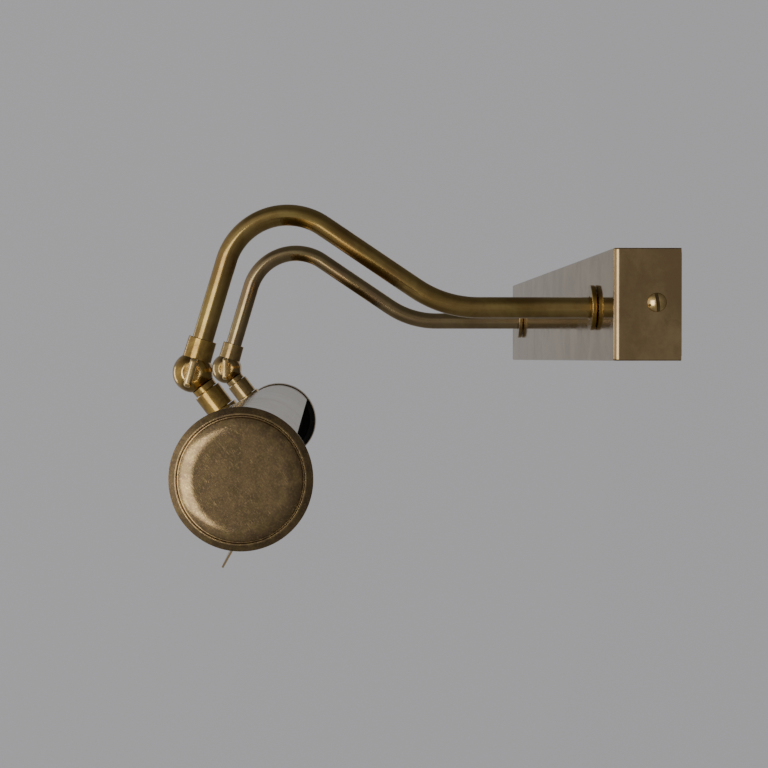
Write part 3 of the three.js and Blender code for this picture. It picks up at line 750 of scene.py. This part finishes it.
washer_fibre = moulded("washer_fibre", (0.19, 0.07, 0.045), roughness=0.75, speck=0.03)
board_white = moulded("board_white", (0.82, 0.82, 0.80), roughness=0.35, coat=0.3)
lead_sleeve = woven_sleeve()
opal_diffuser = opal_plastic()


def stand_for(piece, body, slot, node, *materials):
    """Gives a finished piece even normals, its materials and its body, and hides its CAD node; the
    slot argument is not used.
    """
    even = piece.modifiers.new("even", "WEIGHTED_NORMAL")
    even.keep_sharp = True
    even.weight = 80
    bake_modifiers(piece)
    piece.data.materials.clear()
    for material in materials:
        piece.data.materials.append(material)
    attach(piece, body)
    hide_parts(node)


def paint_node(node, material):
    """A CAD node whose shape is right keeps its shape and takes a finished material."""
    piece = frame["nodes"][node]
    piece.data.materials.clear()
    piece.data.materials.append(material)


# ---- wall box


BOX_SMOOTH = 40
NEAR = 1e-6
SCREW_LINE = move(0, SCREW_POINT.y, SCREW_POINT.z) @ Z_TO_X


def rounded_box(name, low, high, bend, fold):
    """A block rounded to the bend along its upright front edges and to the fold above and below."""
    bm = bmesh.new()
    bmesh.ops.create_cube(bm, size=1)
    low, high = Vector(low), Vector(high)
    for vert in bm.verts:
        vert.co = Vector((low[k] + (vert.co[k] + 0.5) * (high[k] - low[k]) for k in range(3)))

    def lies_at(edge, axis, value):
        return all(abs(vert.co[axis] - value) < NEAR for vert in edge.verts)

    upright = [
        edge
        for edge in bm.edges
        if lies_at(edge, 1, low.y) and lies_at(edge, 0, edge.verts[0].co.x)
    ]
    round_edges(bm, upright, bend, 10)
    rims = [
        edge
        for edge in bm.edges
        if (lies_at(edge, 2, low.z) or lies_at(edge, 2, high.z)) and not lies_at(edge, 1, high.y)
    ]
    round_edges(bm, rims, fold, 4)
    return new_piece(name, bm, BOX_SMOOTH)


def backplate_cover():
    piece = rounded_box("cover", BOX_LOW, BOX_HIGH, BOX_BEND, BOX_FOLD)
    inset = Vector((BOX_SHEET, BOX_SHEET, BOX_SHEET))
    low, high = BOX_LOW + inset, BOX_HIGH - inset
    high.y = 1 * MM
    hollow = rounded_box("hollow", low, high, BOX_BEND - BOX_SHEET, 0.2 * MM)
    carve(piece, hollow, smooth_angle=BOX_SMOOTH)
    for sign in SIDES.values():
        front = move(sign * ARM_X, BOX_FRONT, 0) @ Z_TO_MINUS_Y
        drill(piece, TUBE_RADIUS + GAP, -3 * MM, 3 * MM, front, BOX_SMOOTH)
    past_end = BOX_HIGH.x + MM
    drill(piece, SCREW_HOLE_RADIUS, -past_end, past_end, SCREW_LINE, BOX_SMOOTH)
    stand_for(piece, "wall_unit", "box_brass", "backplate_cover", box_brass)


def wall_bracket():
    end = BOX_HIGH.x - BOX_SHEET - GAP
    half = BOX_HIGH.z - BOX_SHEET - GAP
    piece = cuboid("bracket", (-end, -BRACKET_SHEET, -half), (end, 0, half), 0.3 * MM)
    for sign in SIDES.values():
        inner, outer = sorted((sign * (end - BRACKET_SHEET), sign * end))
        tab = cuboid(
            "tab",
            (inner, -BRACKET_TAB_REACH, -BRACKET_TAB_HEIGHT / 2),
            (outer, -BRACKET_SHEET / 2, BRACKET_TAB_HEIGHT / 2),
            0.3 * MM,
        )
        carve(piece, tab, "UNION")
        slot = cuboid(
            "slot",
            (sign * WALL_SLOT_X - WALL_SLOT_LENGTH / 2, -5 * MM, -WALL_SLOT_WIDTH / 2),
            (sign * WALL_SLOT_X + WALL_SLOT_LENGTH / 2, 5 * MM, WALL_SLOT_WIDTH / 2),
            WALL_SLOT_WIDTH / 2 - 0.01 * MM,
            12,
        )
        carve(piece, slot)
    holes = [(CABLE_ENTRY_X, CABLE_ENTRY_RADIUS), (EARTH_X, SCREW_HOLE_RADIUS)]
    holes += [(x, SMALL_HOLE_RADIUS) for x in DRIVER_SCREW_X]
    for x, radius in holes:
        drill(piece, radius, -5 * MM, 5 * MM, move(x, 0, 0) @ Z_TO_MINUS_Y)
    past_end = BOX_HIGH.x + MM
    drill(piece, SCREW_HOLE_RADIUS, -past_end, past_end, SCREW_LINE)
    stand_for(piece, "wall_unit", "bracket_steel", "wall_bracket", bracket_steel)


def slotted_screw(name, head, height, shank, length, slot, depth):
    """A round-headed screw whose head rises along local Z and whose slot runs along local X."""
    crown = height * 0.25
    rise = height - crown
    dome_radius = (head * head + rise * rise) / (2 * rise)
    sweep = math.asin(head * 0.97 / dome_radius)
    dome = arc(dome_radius, math.pi / 2 - sweep, math.pi / 2, 12, (0, height - dome_radius))
    outline = [(0, -length), (shank - 0.3 * MM, -length), (shank, -length + 0.4 * MM), (shank, 0)]
    outline += [(head - 0.15 * MM, 0), (head, 0.15 * MM), (head, crown * 0.9)]
    outline += [(max(0, p.x), p.y) for p in dome]
    outline[-1] = (0, height)
    piece = revolve(name, outline, 96, smooth_angle=38)
    groove = cuboid("groove", (-2 * head, -slot / 2, height - depth), (2 * head, slot / 2, 2 * height))
    return carve(piece, groove, smooth_angle=38)


def paint_slot_shade(piece, slot):
    """Gives the second material, a painted shade for the recess, to the floor and walls of a screw's
    slot.
    """
    for face in piece.data.polygons:
        in_slot = abs(face.center.y) < slot / 2 + 1e-5 and face.center.z > 0
        if in_slot and (face.normal.z > 0.999 or abs(face.normal.y) > 0.99):
            face.material_index = 1


def cover_screws():
    sizes = (COVER_SCREW_HEAD, 2.6 * MM, 2 * MM, 8 * MM, COVER_SCREW_SLOT, 1.8 * MM)
    for side, sign in SIDES.items():
        screw = slotted_screw(f"cover_screw_{side}.look", *sizes)
        seat = move(sign * (BOX_HIGH.x + GAP), SCREW_POINT.y, SCREW_POINT.z)
        turned = Matrix.Rotation(COVER_SCREW_TURN, 4, "X")
        place(screw, seat @ turned @ z_outwards(sign))
        stand_for(screw, "wall_unit", "screw_brass", f"cover_screw_{side}", screw_brass, slot_painted_shade)
        paint_slot_shade(screw, COVER_SCREW_SLOT)


def cable_grommet():
    sleeve = CABLE_ENTRY_RADIUS - GAP
    inner = sleeve - GROMMET_WALL
    lip = sleeve + GROMMET_LIP
    seat = BRACKET_SHEET + GAP
    end = seat + GROMMET_LIP_SHEET
    corners = [
        (inner, 0, 0.3 * MM),
        (sleeve, 0, 0.2 * MM),
        (sleeve, seat, 0),
        (lip, seat, 0.3 * MM),
        (lip, end, 0.5 * MM),
        (inner, end, 0.5 * MM),
    ]
    piece = revolve("grommet", filleted(corners), closed=True)
    place(piece, move(CABLE_ENTRY_X, 0, 0) @ Z_TO_MINUS_Y)
    stand_for(piece, "wall_unit", "grommet_rubber", "cable_grommet", grommet_rubber)


def hidden_electrics():
    """Pieces shut inside the box or the tubes keep their CAD shapes."""
    rows = ("upper", "lower")
    for node in ["earth_washer", "earth_screw"] + [
        f"terminal_screw_{row}_{pole}" for row in rows for pole in (1, 2, 3)
    ]:
        paint_node(node, screw_brass)
    paint_node("led_driver", driver_plastic)
    paint_node("terminal_block", terminal_plastic)
    for node in ("input_lead", "arm_cable", "shade_cable"):
        paint_node(node, lead_sleeve)
    paint_node("led_board", board_white)
    for side in SIDES:
        for node in ("driver_screw", "arm_washer", "arm_nut", "stem_washer"):
            paint_node(f"{node}_{side}", fixing_steel)


# ---- arms


def arm_stations():
    """Points and headings of the arm's centre line in the y-z plane."""
    point = Vector((0, ARM_START, 0))
    heading = 0.0
    stations = [(point.copy(), heading)]
    moves = [
        (ARM_RUN, 0, 0),
        (0, LOWER_BEND, LOWER_BEND_RADIUS),
        (ARM_RISE, 0, 0),
        (0, -UPPER_BEND, UPPER_BEND_RADIUS),
        (ARM_LEG, 0, 0),
    ]
    for straight, bend, radius in moves:
        steps = max(6, math.ceil(abs(bend) / BEND_STEP))
        for _ in range(steps):
            turn = bend / steps
            middle = heading + turn / 2
            chord = 2 * radius * math.sin(abs(turn) / 2) + straight / steps
            point += Vector((0, -math.cos(middle), math.sin(middle))) * chord
            heading += turn
            stations.append((point.copy(), heading))
    return stations


def arm_tube(side, sign):
    """The bent tube, which also stores where each point lay before the bending."""
    bm = bmesh.new()
    straight = []
    rings = []
    travelled = 0.0
    last = None
    for point, heading in arm_stations():
        if last is not None:
            travelled += (point - last).length
        last = point
        up = Vector((0, math.sin(heading), math.cos(heading)))
        ring = []
        for i in range(TUBE_SIDES):
            angle = 2 * math.pi * i / TUBE_SIDES
            across, above = TUBE_RADIUS * math.cos(angle), TUBE_RADIUS * math.sin(angle)
            ring.append(bm.verts.new(point + Vector((across, 0, 0)) + up * above))
            straight.append((travelled, across, above))
        rings.append(ring)
    for first, second in zip(rings, rings[1:]):
        for i in range(TUBE_SIDES):
            j = (i + 1) % TUBE_SIDES
            bm.faces.new((first[i], first[j], second[j], second[i]))
    bm.faces.new(rings[0])
    bm.faces.new(rings[-1])
    piece = new_piece(f"arm_{side}", bm)
    stored = piece.data.attributes.new("straight", "FLOAT_VECTOR", "POINT")
    stored.data.foreach_set("vector", [value for vector in straight for value in vector])
    place(piece, move(sign * ARM_X, 0, 0))
    stand_for(piece, "wall_unit", "arm_brass", f"arm_tube_{side}", arm_brass[side])


def wall_disc(side, sign):
    piece = washer(f"disc_{side}", DISC_RADIUS, TUBE_RADIUS + GAP, 0, DISC_THICKNESS, 0.45 * MM)
    place(piece, move(sign * ARM_X, BOX_FRONT - GAP, 0) @ Z_TO_MINUS_Y)
    stand_for(piece, "wall_unit", "arm_brass", f"wall_disc_{side}", joint_brass[side])


# ---- knuckles


def ball_outline(neck_radius):
    """Outline of the ball from its far pole to the crease where the neck leaves it."""
    start = -math.pi / 2
    end = math.acos((neck_radius + NECK_CREASE) / BALL_RADIUS)
    points = arc(BALL_RADIUS, start, end, 40)
    return [(max(0, p.x), p.y) for p in points]


def half_ball_cutter(sign):
    """The other half's room: half a ball with clearance, on one side of the middle plane."""
    radius = BALL_RADIUS + GAP
    edge = math.asin(BALL_SPLIT / radius)
    dome = arc(radius, edge, -math.pi / 2, 40)
    outline = [(0, BALL_SPLIT)] + [(max(0, p.x), p.y) for p in dome]
    return apply_place(revolve("cutter", outline), z_outwards(sign))


def screw_bore():
    """Room for the thumb screw: its shank's hole, wider where the hub is seated."""
    hub = HUB_RADIUS + GAP
    outline = [(0, -BORE_REACH), (SHANK_HOLE_RADIUS, -BORE_REACH), (SHANK_HOLE_RADIUS, HUB_SEAT)]
    outline += [(hub, HUB_SEAT), (hub, BORE_REACH), (0, BORE_REACH)]
    return apply_place(revolve("bore", outline, 64), Z_TO_X)


def upper_knuckle(side, place_at):
    bore = TUBE_RADIUS + GAP / 2
    corners = [
        (UPPER_NECK_RADIUS, UPPER_NECK_REACH, 0.35 * MM),
        (bore, UPPER_NECK_REACH, 0.2 * MM),
        (bore, TUBE_END_TO_BALL - GAP, 0),
        (0, TUBE_END_TO_BALL - GAP, 0),
    ]
    outline = ball_outline(UPPER_NECK_RADIUS)
    outline += filleted([(*outline[-1], 0)] + corners, steps=4)[1:]
    piece = revolve(f"upper_half_{side}", outline, 128)
    carve(piece, half_ball_cutter(1))
    carve(piece, screw_bore())
    place(piece, place_at @ Matrix.Rotation(-ARM_LEAN, 4, "X"))
    stand_for(piece, "wall_unit", "joint_brass", f"knuckle_upper_{side}", joint_brass[side])


def lower_knuckle(side, place_at):
    corners = [
        (LOWER_NECK_RADIUS, LOWER_NECK_REACH, 0.3 * MM),
        (STEM_RADIUS, LOWER_NECK_REACH, 0),
        (STEM_RADIUS, STEM_REACH, 0.4 * MM),
        (SCREW_HOLE_RADIUS, STEM_REACH, 0.2 * MM),
        (SCREW_HOLE_RADIUS, BORE_REACH, 0),
        (0, BORE_REACH, 0),
    ]
    outline = ball_outline(LOWER_NECK_RADIUS)
    outline += filleted([(*outline[-1], 0)] + corners, steps=4)[1:]
    piece = revolve(f"lower_half_{side}", outline, 128)
    apply_place(piece, Matrix.Rotation(math.pi, 4, "Y"))
    carve(piece, half_ball_cutter(-1))
    shank = bar("bore", SHANK_HOLE_RADIUS, -7 * MM, BORE_REACH)
    carve(piece, apply_place(shank, Z_TO_X))
    place(piece, place_at)
    stand_for(piece, "shade_head", "joint_brass", f"knuckle_lower_{side}", joint_brass[side])


def thumb_screw(side, place_at):
    hub_face = HUB_SEAT + GAP
    root = hub_face + HUB_THICKNESS
    rim = HUB_RADIUS - HUB_RIM
    corners = [
        (0, -SHANK_REACH, 0),
        (SHANK_RADIUS, -SHANK_REACH, 0.4 * MM),
        (SHANK_RADIUS, hub_face, 0),
        (HUB_RADIUS, hub_face, 0.3 * MM),
        (HUB_RADIUS, root - 0.1 * MM, 0.35 * MM),
        (rim, root + 0.25 * MM, 0.2 * MM),
    ]
    dish_radius = rim / math.sin(HUB_DISH)
    above = root + 0.1 * MM + dish_radius * math.cos(HUB_DISH)
    dish = arc(dish_radius, -math.pi / 2 + HUB_DISH, -math.pi / 2, 12, (0, above))
    dish = [(max(0, p.x), p.y) for p in dish]
    piece = revolve(f"thumb_{side}", filleted(corners + [(*dish[0], 0)])[:-1] + dish)
    apply_place(piece, Z_TO_X)
    half = WING_LENGTH / 2
    blade = [
        (-half + WING_TAPER, root - WING_ROOT, WING_ROOT_RADIUS),
        (half - WING_TAPER, root - WING_ROOT, WING_ROOT_RADIUS),
        (half, WING_REACH, WING_TIP_RADIUS),
        (-half, WING_REACH, WING_TIP_RADIUS),
    ]
    wing = plate("wing", filleted(blade, 8), WING_THICKNESS, WING_BEVEL)
    carve(piece, apply_place(wing, XY_TO_ZX), "UNION")
    place(piece, place_at @ Matrix.Rotation(WING_TURN[side], 4, "X"))
    stand_for(piece, f"{side}_thumb_screw", "screw_brass", f"thumb_screw_{side}", screw_brass)


def plate(name, outline, thickness, bevel=0.0):
    """A flat plate in local X-Y, centred on Z, with its rim rounded."""
    bm = bmesh.new()
    verts = [bm.verts.new((p[0], p[1], -thickness / 2)) for p in outline]
    face = bm.faces.new(verts)
    grown = bmesh.ops.extrude_face_region(bm, geom=[face])
    for item in grown["geom"]:
        if isinstance(item, bmesh.types.BMVert):
            item.co.z += thickness
    rims = [edge for edge in bm.edges if edge.verts[0].co.z == edge.verts[1].co.z]
    if bevel:
        round_edges(bm, rims, bevel, 6)
    return new_piece(name, bm)


def friction_washer(side, place_at):
    half = BALL_SPLIT / 2
    piece = washer(f"friction_{side}", FRICTION_RADIUS, SHANK_HOLE_RADIUS, -half, half, 0.1 * MM)
    place(piece, place_at @ Z_TO_X)
    stand_for(piece, "wall_unit", "washer_fibre", f"friction_washer_{side}", washer_fibre)


# ---- shade


def shade_axis():
    return head_at(0) @ move(0, 0, -SHADE_DROP)


def shade_trough():
    """A rolled sheet, open below, whose front edge is bent out into a lip."""
    inner = TROUGH_RADIUS - TROUGH_SHEET
    middle = (TROUGH_RADIUS + inner) / 2
    rim = TROUGH_SHEET / 2
    end = Vector((math.cos(TROUGH_ANGLE), math.sin(TROUGH_ANGLE)))
    along = Vector((-end.y, end.x))
    lean = TROUGH_ANGLE - LIP_LEAN
    outward = Vector((math.cos(lean), math.sin(lean)))
    inboard = Vector((outward.y, -outward.x)) * TROUGH_SHEET
    root = end * inner
    crease = root + inboard
    crease += outward * ((TROUGH_RADIUS - crease.dot(end)) / outward.dot(end))
    bend = [
        (*(end * TROUGH_RADIUS - along * LIP_RUN), 0),
        (*crease, 0.5 * MM),
        (*(root + inboard + outward * LIP_REACH), 0.25 * MM),
        (*(root + outward * LIP_REACH), 0.25 * MM),
        (*root, 1.1 * MM),
        (*(end * inner - along * LIP_RUN), 0),
    ]
    first = math.radians(1)
    last = TROUGH_ANGLE - LIP_RUN / inner - math.radians(1.5)
    outline = arc(rim, -math.pi, 0, 8, (middle, 0))
    outline += arc(TROUGH_RADIUS, first, last, 100)
    outline += filleted(bend)
    outline += arc(inner, last, first, 100)
    piece = prism("shade", outline, -TROUGH_END, TROUGH_END)
    for sign in SIDES.values():
        clear = washer("clear", 3 * TROUGH_RADIUS, TROUGH_RADIUS + 0.05 * MM, 0, 2 * CAP_DEPTH, 0)
        start = move(0, 0, SHADE_END - CAP_DEPTH - GAP)
        carve(piece, apply_place(clear, z_outwards(sign) @ start))
        stem_hole = bar("hole", STEM_RADIUS + GAP, 0, SHADE_DROP)
        carve(piece, apply_place(stem_hole, move(sign * ARM_X, 0, 0)))
    place(piece, shade_axis())
    stand_for(piece, "shade_head", "shade_brass", "shade_trough", shade_brass, inside_black)
    darken_inside(piece, TROUGH_RADIUS - TROUGH_SHEET * 0.5)


def darken_inside(piece, radius):
    """Gives the second material to the faces that lie inside the shade."""
    for face in piece.data.polygons:
        if math.hypot(face.center.y, face.center.z) < radius:
            face.material_index = 1


def end_cap(side, sign):
    """A turned cap: a skirt over the trough, a groove by the ring, a round shoulder, a flat dome."""
    skirt = TROUGH_RADIUS + GAP
    inside = [
        (0, -1.3 * MM, 0),
        (17.2 * MM, -1.3 * MM, 2 * MM),
        (22.3 * MM, -3.4 * MM, 0.8 * MM),
        (22.4 * MM, -CAP_FACE, 0.4 * MM),
        (skirt, -CAP_FACE, 0.4 * MM),
        (skirt, -CAP_DEPTH, 0.1 * MM),
        (skirt + 0.45 * MM, -CAP_DEPTH, 0.15 * MM),
        (CAP_RADIUS, -6.5 * MM, 1 * MM),
        (CAP_RADIUS, -4.7 * MM, 0.6 * MM),
        (24.85 * MM, -2.75 * MM, 0.35 * MM),
        (24.25 * MM, -2.7 * MM, 0.15 * MM),
        (23.9 * MM, -3.2 * MM, 0.12 * MM),
        (23.45 * MM, -3.1 * MM, 0.12 * MM),
        (23.3 * MM, -2.3 * MM, 0.2 * MM),
    ]
    radius, height = CAP_FLAT_RADIUS, 0.0
    steps = 24
    step = CAP_SHOULDER / steps
    shoulder = [(radius, height)]
    for i in range(steps):
        slope = CAP_SHOULDER_SLOPE * ((i + 0.5) / steps) ** CAP_SHOULDER_POWER
        radius += step
        height -= step * math.tan(slope)
        shoulder.append((radius, height))
    outline = filleted(inside + [(*shoulder[-1], 0)], steps=5) + shoulder[-2::-1]
    outline += [(11 * MM, 0.06 * MM), (6 * MM, 0.12 * MM), (0, CAP_DOME)]
    piece = revolve(f"cap_{side}", outline, 160)
    place(piece, shade_axis() @ move(sign * (SHADE_END - CAP_DOME), 0, 0) @ z_outwards(sign))
    stand_for(piece, "shade_head", "cap_brass", f"end_cap_{side}", cap_brass, inside_black)
    for face in piece.data.polygons:
        away = math.hypot(face.center.x, face.center.y)
        faces_in = face.normal.z < -0.3 and away < skirt
        lines_skirt = face.center.z < -CAP_FACE and away < skirt + 0.1 * MM
        if faces_in or lines_skirt:
            face.material_index = 1


def stem_parts(side, sign):
    at_joint = head_at(sign * ARM_X)
    bore = STEM_RADIUS + GAP
    collar = washer(f"collar_{side}", UPPER_NECK_RADIUS, bore, -COLLAR_END, -COLLAR_START, 0.3 * MM)
    place(collar, at_joint)
    stand_for(collar, "shade_head", "joint_brass", f"stem_collar_{side}", joint_brass[side])

    seat = -COLLAR_END - GAP
    saddle = washer(f"saddle_{side}", SADDLE_RADIUS, bore, -SADDLE_END, seat, 0.2 * MM)
    trough = bar("trough", TROUGH_RADIUS + GAP / 2, -20 * MM, 20 * MM, 240)
    carve(saddle, apply_place(trough, move(0, 0, -SHADE_DROP) @ Z_TO_X))
    place(saddle, at_joint)
    stand_for(saddle, "shade_head", "joint_brass", f"saddle_washer_{side}", joint_brass[side])

    top = STRAP_TOP + STRAP_SHEET + GAP
    nut = hex_nut(f"nut_{side}", STEM_NUT_FLATS, bore, -STEM_REACH + GAP, -top)
    place(nut, at_joint)
    stand_for(nut, "shade_head", "fixing_steel", f"stem_nut_{side}", fixing_steel)

    strap = lamp_strap(f"strap_{side}", sign)
    place(strap, at_joint)
    stand_for(strap, "shade_head", "fixing_steel", f"lamp_bracket_{side}", fixing_steel)

    sizes = (2.8 * MM, 1.8 * MM, 1.5 * MM, 3.8 * MM, 0.8 * MM, 0.9 * MM)
    screw = slotted_screw(f"strap_screw_{side}", *sizes)
    place(screw, at_joint @ move(-sign * STRAP_SCREW, 0, -(STRAP_TOP + STRAP_STEP - GAP)))
    stand_for(screw, "shade_head", "fixing_steel", f"bracket_screw_{side}", fixing_steel)


def hex_nut(name, across_flats, bore, start, end):
    corner = across_flats / math.sqrt(3)
    angles = [math.radians(30 + 60 * i) for i in range(6)]
    piece = plate(name, [(corner * math.cos(a), corner * math.sin(a)) for a in angles], end - start)
    half = (end - start) / 2
    cut = 0.5 * MM
    flank = corner - 1.6 * cut
    turned = [(0, -half - MM), (flank - 2 * MM, -half - MM), (flank, -half)]
    turned += [(corner + MM, -half + cut * 2)]
    turned += [(radius, -height) for radius, height in reversed(turned)]
    carve(piece, revolve("turned", turned), "INTERSECT")
    carve(piece, bar("bore", bore, -2 * half, 2 * half))
    return apply_place(piece, move(0, 0, (start + end) / 2))


def lamp_strap(name, sign):
    """The strap's side outline, stepped down from the stem nut to the channel."""
    low = STRAP_TOP + STRAP_STEP
    end = STRAP_SCREW + STRAP_PAST_SCREW
    edge = 0.3 * MM
    bend = 0.5 * MM
    corners = [
        (-STRAP_BACK, -STRAP_TOP, edge),
        (-STRAP_BACK, -STRAP_TOP - STRAP_SHEET, edge),
        (STRAP_STEP_AT - STRAP_SHEET, -STRAP_TOP - STRAP_SHEET, bend),
        (STRAP_STEP_AT - STRAP_SHEET, -low - STRAP_SHEET, bend),
        (end, -low - STRAP_SHEET, edge),
        (end, -low, edge),
        (STRAP_STEP_AT, -low, bend),
        (STRAP_STEP_AT, -STRAP_TOP, bend),
    ]
    outline = [(-sign * p.x, p.y) for p in filleted(corners, 4)]
    piece = prism(name, outline, -STRAP_WIDTH / 2, STRAP_WIDTH / 2)
    apply_place(piece, XY_TO_YX)
    bm = bmesh.new()
    bm.from_mesh(piece.data)
    bmesh.ops.recalc_face_normals(bm, faces=bm.faces)
    bm.to_mesh(piece.data)
    bm.free()
    shade(piece)
    carve(piece, bar("hole", STEM_RADIUS + GAP, -SHADE_DROP, 0))
    hole = bar("hole", SMALL_HOLE_RADIUS, -SHADE_DROP, 0)
    return carve(piece, apply_place(hole, move(-sign * STRAP_SCREW, 0, 0)))


def light_channel():
    """The aluminium channel, open below, with its diffuser and its end caps."""
    half = CHANNEL_WIDTH / 2
    top, bottom = -CHANNEL_TOP, -CHANNEL_TOP - CHANNEL_HEIGHT
    floor = top - CHANNEL_WALL
    inner = half - CHANNEL_WALL
    edge = 0.35 * MM
    at_hinge = head_at(0)
    corners = [
        (-half, top, 0.8 * MM),
        (-half, bottom, edge),
        (-inner, bottom, edge),
        (-inner, floor, 0.2 * MM),
        (inner, floor, 0.2 * MM),
        (inner, bottom, edge),
        (half, bottom, edge),
        (half, top, 0.8 * MM),
    ]
    channel = prism("channel", filleted(corners, 4), -CHANNEL_END, CHANNEL_END)
    place(channel, at_hinge)
    stand_for(channel, "shade_head", "channel_aluminium", "heat_sink", channel_aluminium)

    cover = inner - GAP
    steps = 16
    outline = [Vector((-cover, bottom + LENS_DEPTH))]
    for i in range(steps + 1):
        sag = LENS_CROWN * (1 - (2 * i / steps - 1) ** 2)
        outline.append(Vector((-cover + 2 * cover * i / steps, bottom - sag)))
    outline.append(Vector((cover, bottom + LENS_DEPTH)))
    lens = prism("lens", outline, -CHANNEL_END, CHANNEL_END)
    place(lens, at_hinge)
    stand_for(lens, "shade_head", "opal_diffuser", "diffuser", opal_diffuser)

    start = CHANNEL_END + GAP
    for side, sign in SIDES.items():
        near, far = sorted((sign * start, sign * (start + CHANNEL_CAP)))
        cap = cuboid(f"channel_cap_{side}", (near, -half, bottom), (far, half, top), 0.5 * MM)
        place(cap, at_hinge)
        stand_for(cap, "shade_head", "driver_plastic", f"channel_end_{side}", driver_plastic)


# ---- the whole light

backplate_cover()
wall_bracket()
cover_screws()
cable_grommet()
hidden_electrics()
for side, sign in SIDES.items():
    at_ball = move(sign * ARM_X, HINGE.y, HINGE.z)
    arm_tube(side, sign)
    wall_disc(side, sign)
    upper_knuckle(side, at_ball)
    friction_washer(side, at_ball)
    lower_knuckle(side, head_at(sign * ARM_X))
    thumb_screw(side, at_ball)
    stem_parts(side, sign)
    end_cap(side, sign)
shade_trough()
light_channel()


# ---- studio


def studio_paint():
    """Matt paint with a faint drift; the glow stands for the studio's even fill light."""
    n = Nodes("studio_paint")
    drift = n.noise(n.coordinates(), 0.35, detail=2)
    colour = n.mix(drift, ROOM_COLOUR, tuple(c * 0.94 for c in ROOM_COLOUR))
    n.link(colour, n.shader.inputs["Base Color"])
    n.set(Roughness=0.9, Specular_IOR_Level=0.1)
    n.set(Emission_Color=(0.985, 0.965, 1.0, 1.0), Emission_Strength=ROOM_GLOW)
    return n.material


def fill_cloth():
    """Cloth whose glow runs round the light: bright in front, dark by the wall, above and below."""
    n = Nodes("fill_cloth")
    unit = n.add("ShaderNodeVectorMath", operation="NORMALIZE")
    n.link(n.coordinates(), unit.inputs[0])
    parts = n.add("ShaderNodeSeparateXYZ")
    n.link(unit.outputs[0], parts.inputs[0])
    bearing = n.math("ARCTAN2", parts.outputs["Y"], parts.outputs["X"])
    ramp = n.add("ShaderNodeValToRGB")
    n.link(n.span(bearing, -math.pi, math.pi), ramp.inputs["Fac"])
    stops = ramp.color_ramp.elements
    while len(stops) < len(FILL_AROUND):
        stops.new(0.5)
    for stop, (degrees, glow) in zip(stops, FILL_AROUND):
        stop.position = (degrees + 180) / 360
        stop.color = (glow, glow, glow, 1)
    height = parts.outputs["Z"]
    level = n.math("MULTIPLY", n.span(height, 0.36, 0.82, 1, 0), n.span(height, -0.86, -0.3, 0, 1))
    least = n.span(height, -0.3, 0.3, FILL_BELOW, FILL_ABOVE)
    glow = n.math("MULTIPLY", n.math("SUBTRACT", ramp.outputs["Color"], least), level)
    n.link(n.math("ADD", glow, least), n.shader.inputs["Emission Strength"])
    n.set(Base_Color=(0.05, 0.05, 0.05, 1), Roughness=1.0, Specular_IOR_Level=0.0)
    n.set(Emission_Color=(1, 0.985, 0.97, 1))
    return n.material


def studio():
    """A pale floor that curves up into a round wall, and fill cloth out of the camera's sight."""
    flat = ROOM_RADIUS - ROOM_COVE
    points = [Vector((0, ROOM_FLOOR)), Vector((flat, ROOM_FLOOR))]
    points += arc(ROOM_COVE, -math.pi / 2, 0, 24, (flat, ROOM_FLOOR + ROOM_COVE))[1:]
    points += [Vector((ROOM_RADIUS, ROOM_TOP))]
    room = revolve("studio_floor", points, 160)
    room.data.materials.append(studio_paint())
    drum = [(0, DRUM_LOW), (DRUM_RADIUS, DRUM_LOW), (DRUM_RADIUS, DRUM_HIGH), (0, DRUM_HIGH)]
    cloth = revolve("fill_cloth", drum)
    place(cloth, move(*STUDIO_CENTRE))
    cloth.data.materials.append(fill_cloth())
    cloth.visible_camera = False
    cloth.visible_shadow = False


def soft_light(name, turn, rise, distance, size, glow, colour):
    """A soft box that faces the middle of the picture light."""
    data = bpy.data.lights.new(name, "AREA")
    data.shape = "RECTANGLE"
    data.size, data.size_y = size
    data.energy = glow * math.pi * size[0] * size[1]
    data.color = colour
    turn, rise = math.radians(turn), math.radians(rise)
    level = math.cos(rise)
    away = Vector((math.cos(turn) * level, math.sin(turn) * level, math.sin(rise)))
    light = bpy.data.objects.new(name, data)
    light.location = STUDIO_CENTRE + away * distance
    light.rotation_euler = (-away).to_track_quat("-Z", "Y").to_euler()
    light.visible_camera = False
    bpy.context.scene.collection.objects.link(light)


def world():
    shell = bpy.data.worlds.new("studio_world")
    shell.use_nodes = True
    background = shell.node_tree.nodes["Background"]
    background.inputs["Color"].default_value = WORLD_COLOUR
    background.inputs["Strength"].default_value = WORLD_GLOW
    bpy.context.scene.world = shell


def camera():
    data = bpy.data.cameras.new("camera")
    data.lens = CAMERA_LENS
    data.sensor_width = CAMERA_SENSOR
    data.clip_start = 0.01
    data.clip_end = 50
    view = bpy.data.objects.new("camera", data)
    view.location = CAMERA_POINT
    level = math.cos(CAMERA_DIP)
    forward = Vector(
        (-math.cos(CAMERA_PAN) * level, math.sin(CAMERA_PAN) * level, -math.sin(CAMERA_DIP))
    )
    view.rotation_euler = forward.to_track_quat("-Z", "Y").to_euler()
    bpy.context.scene.collection.objects.link(view)
    bpy.context.scene.camera = view


studio()
for sizes in SOFT_LIGHTS:
    soft_light(*sizes)
world()
camera()
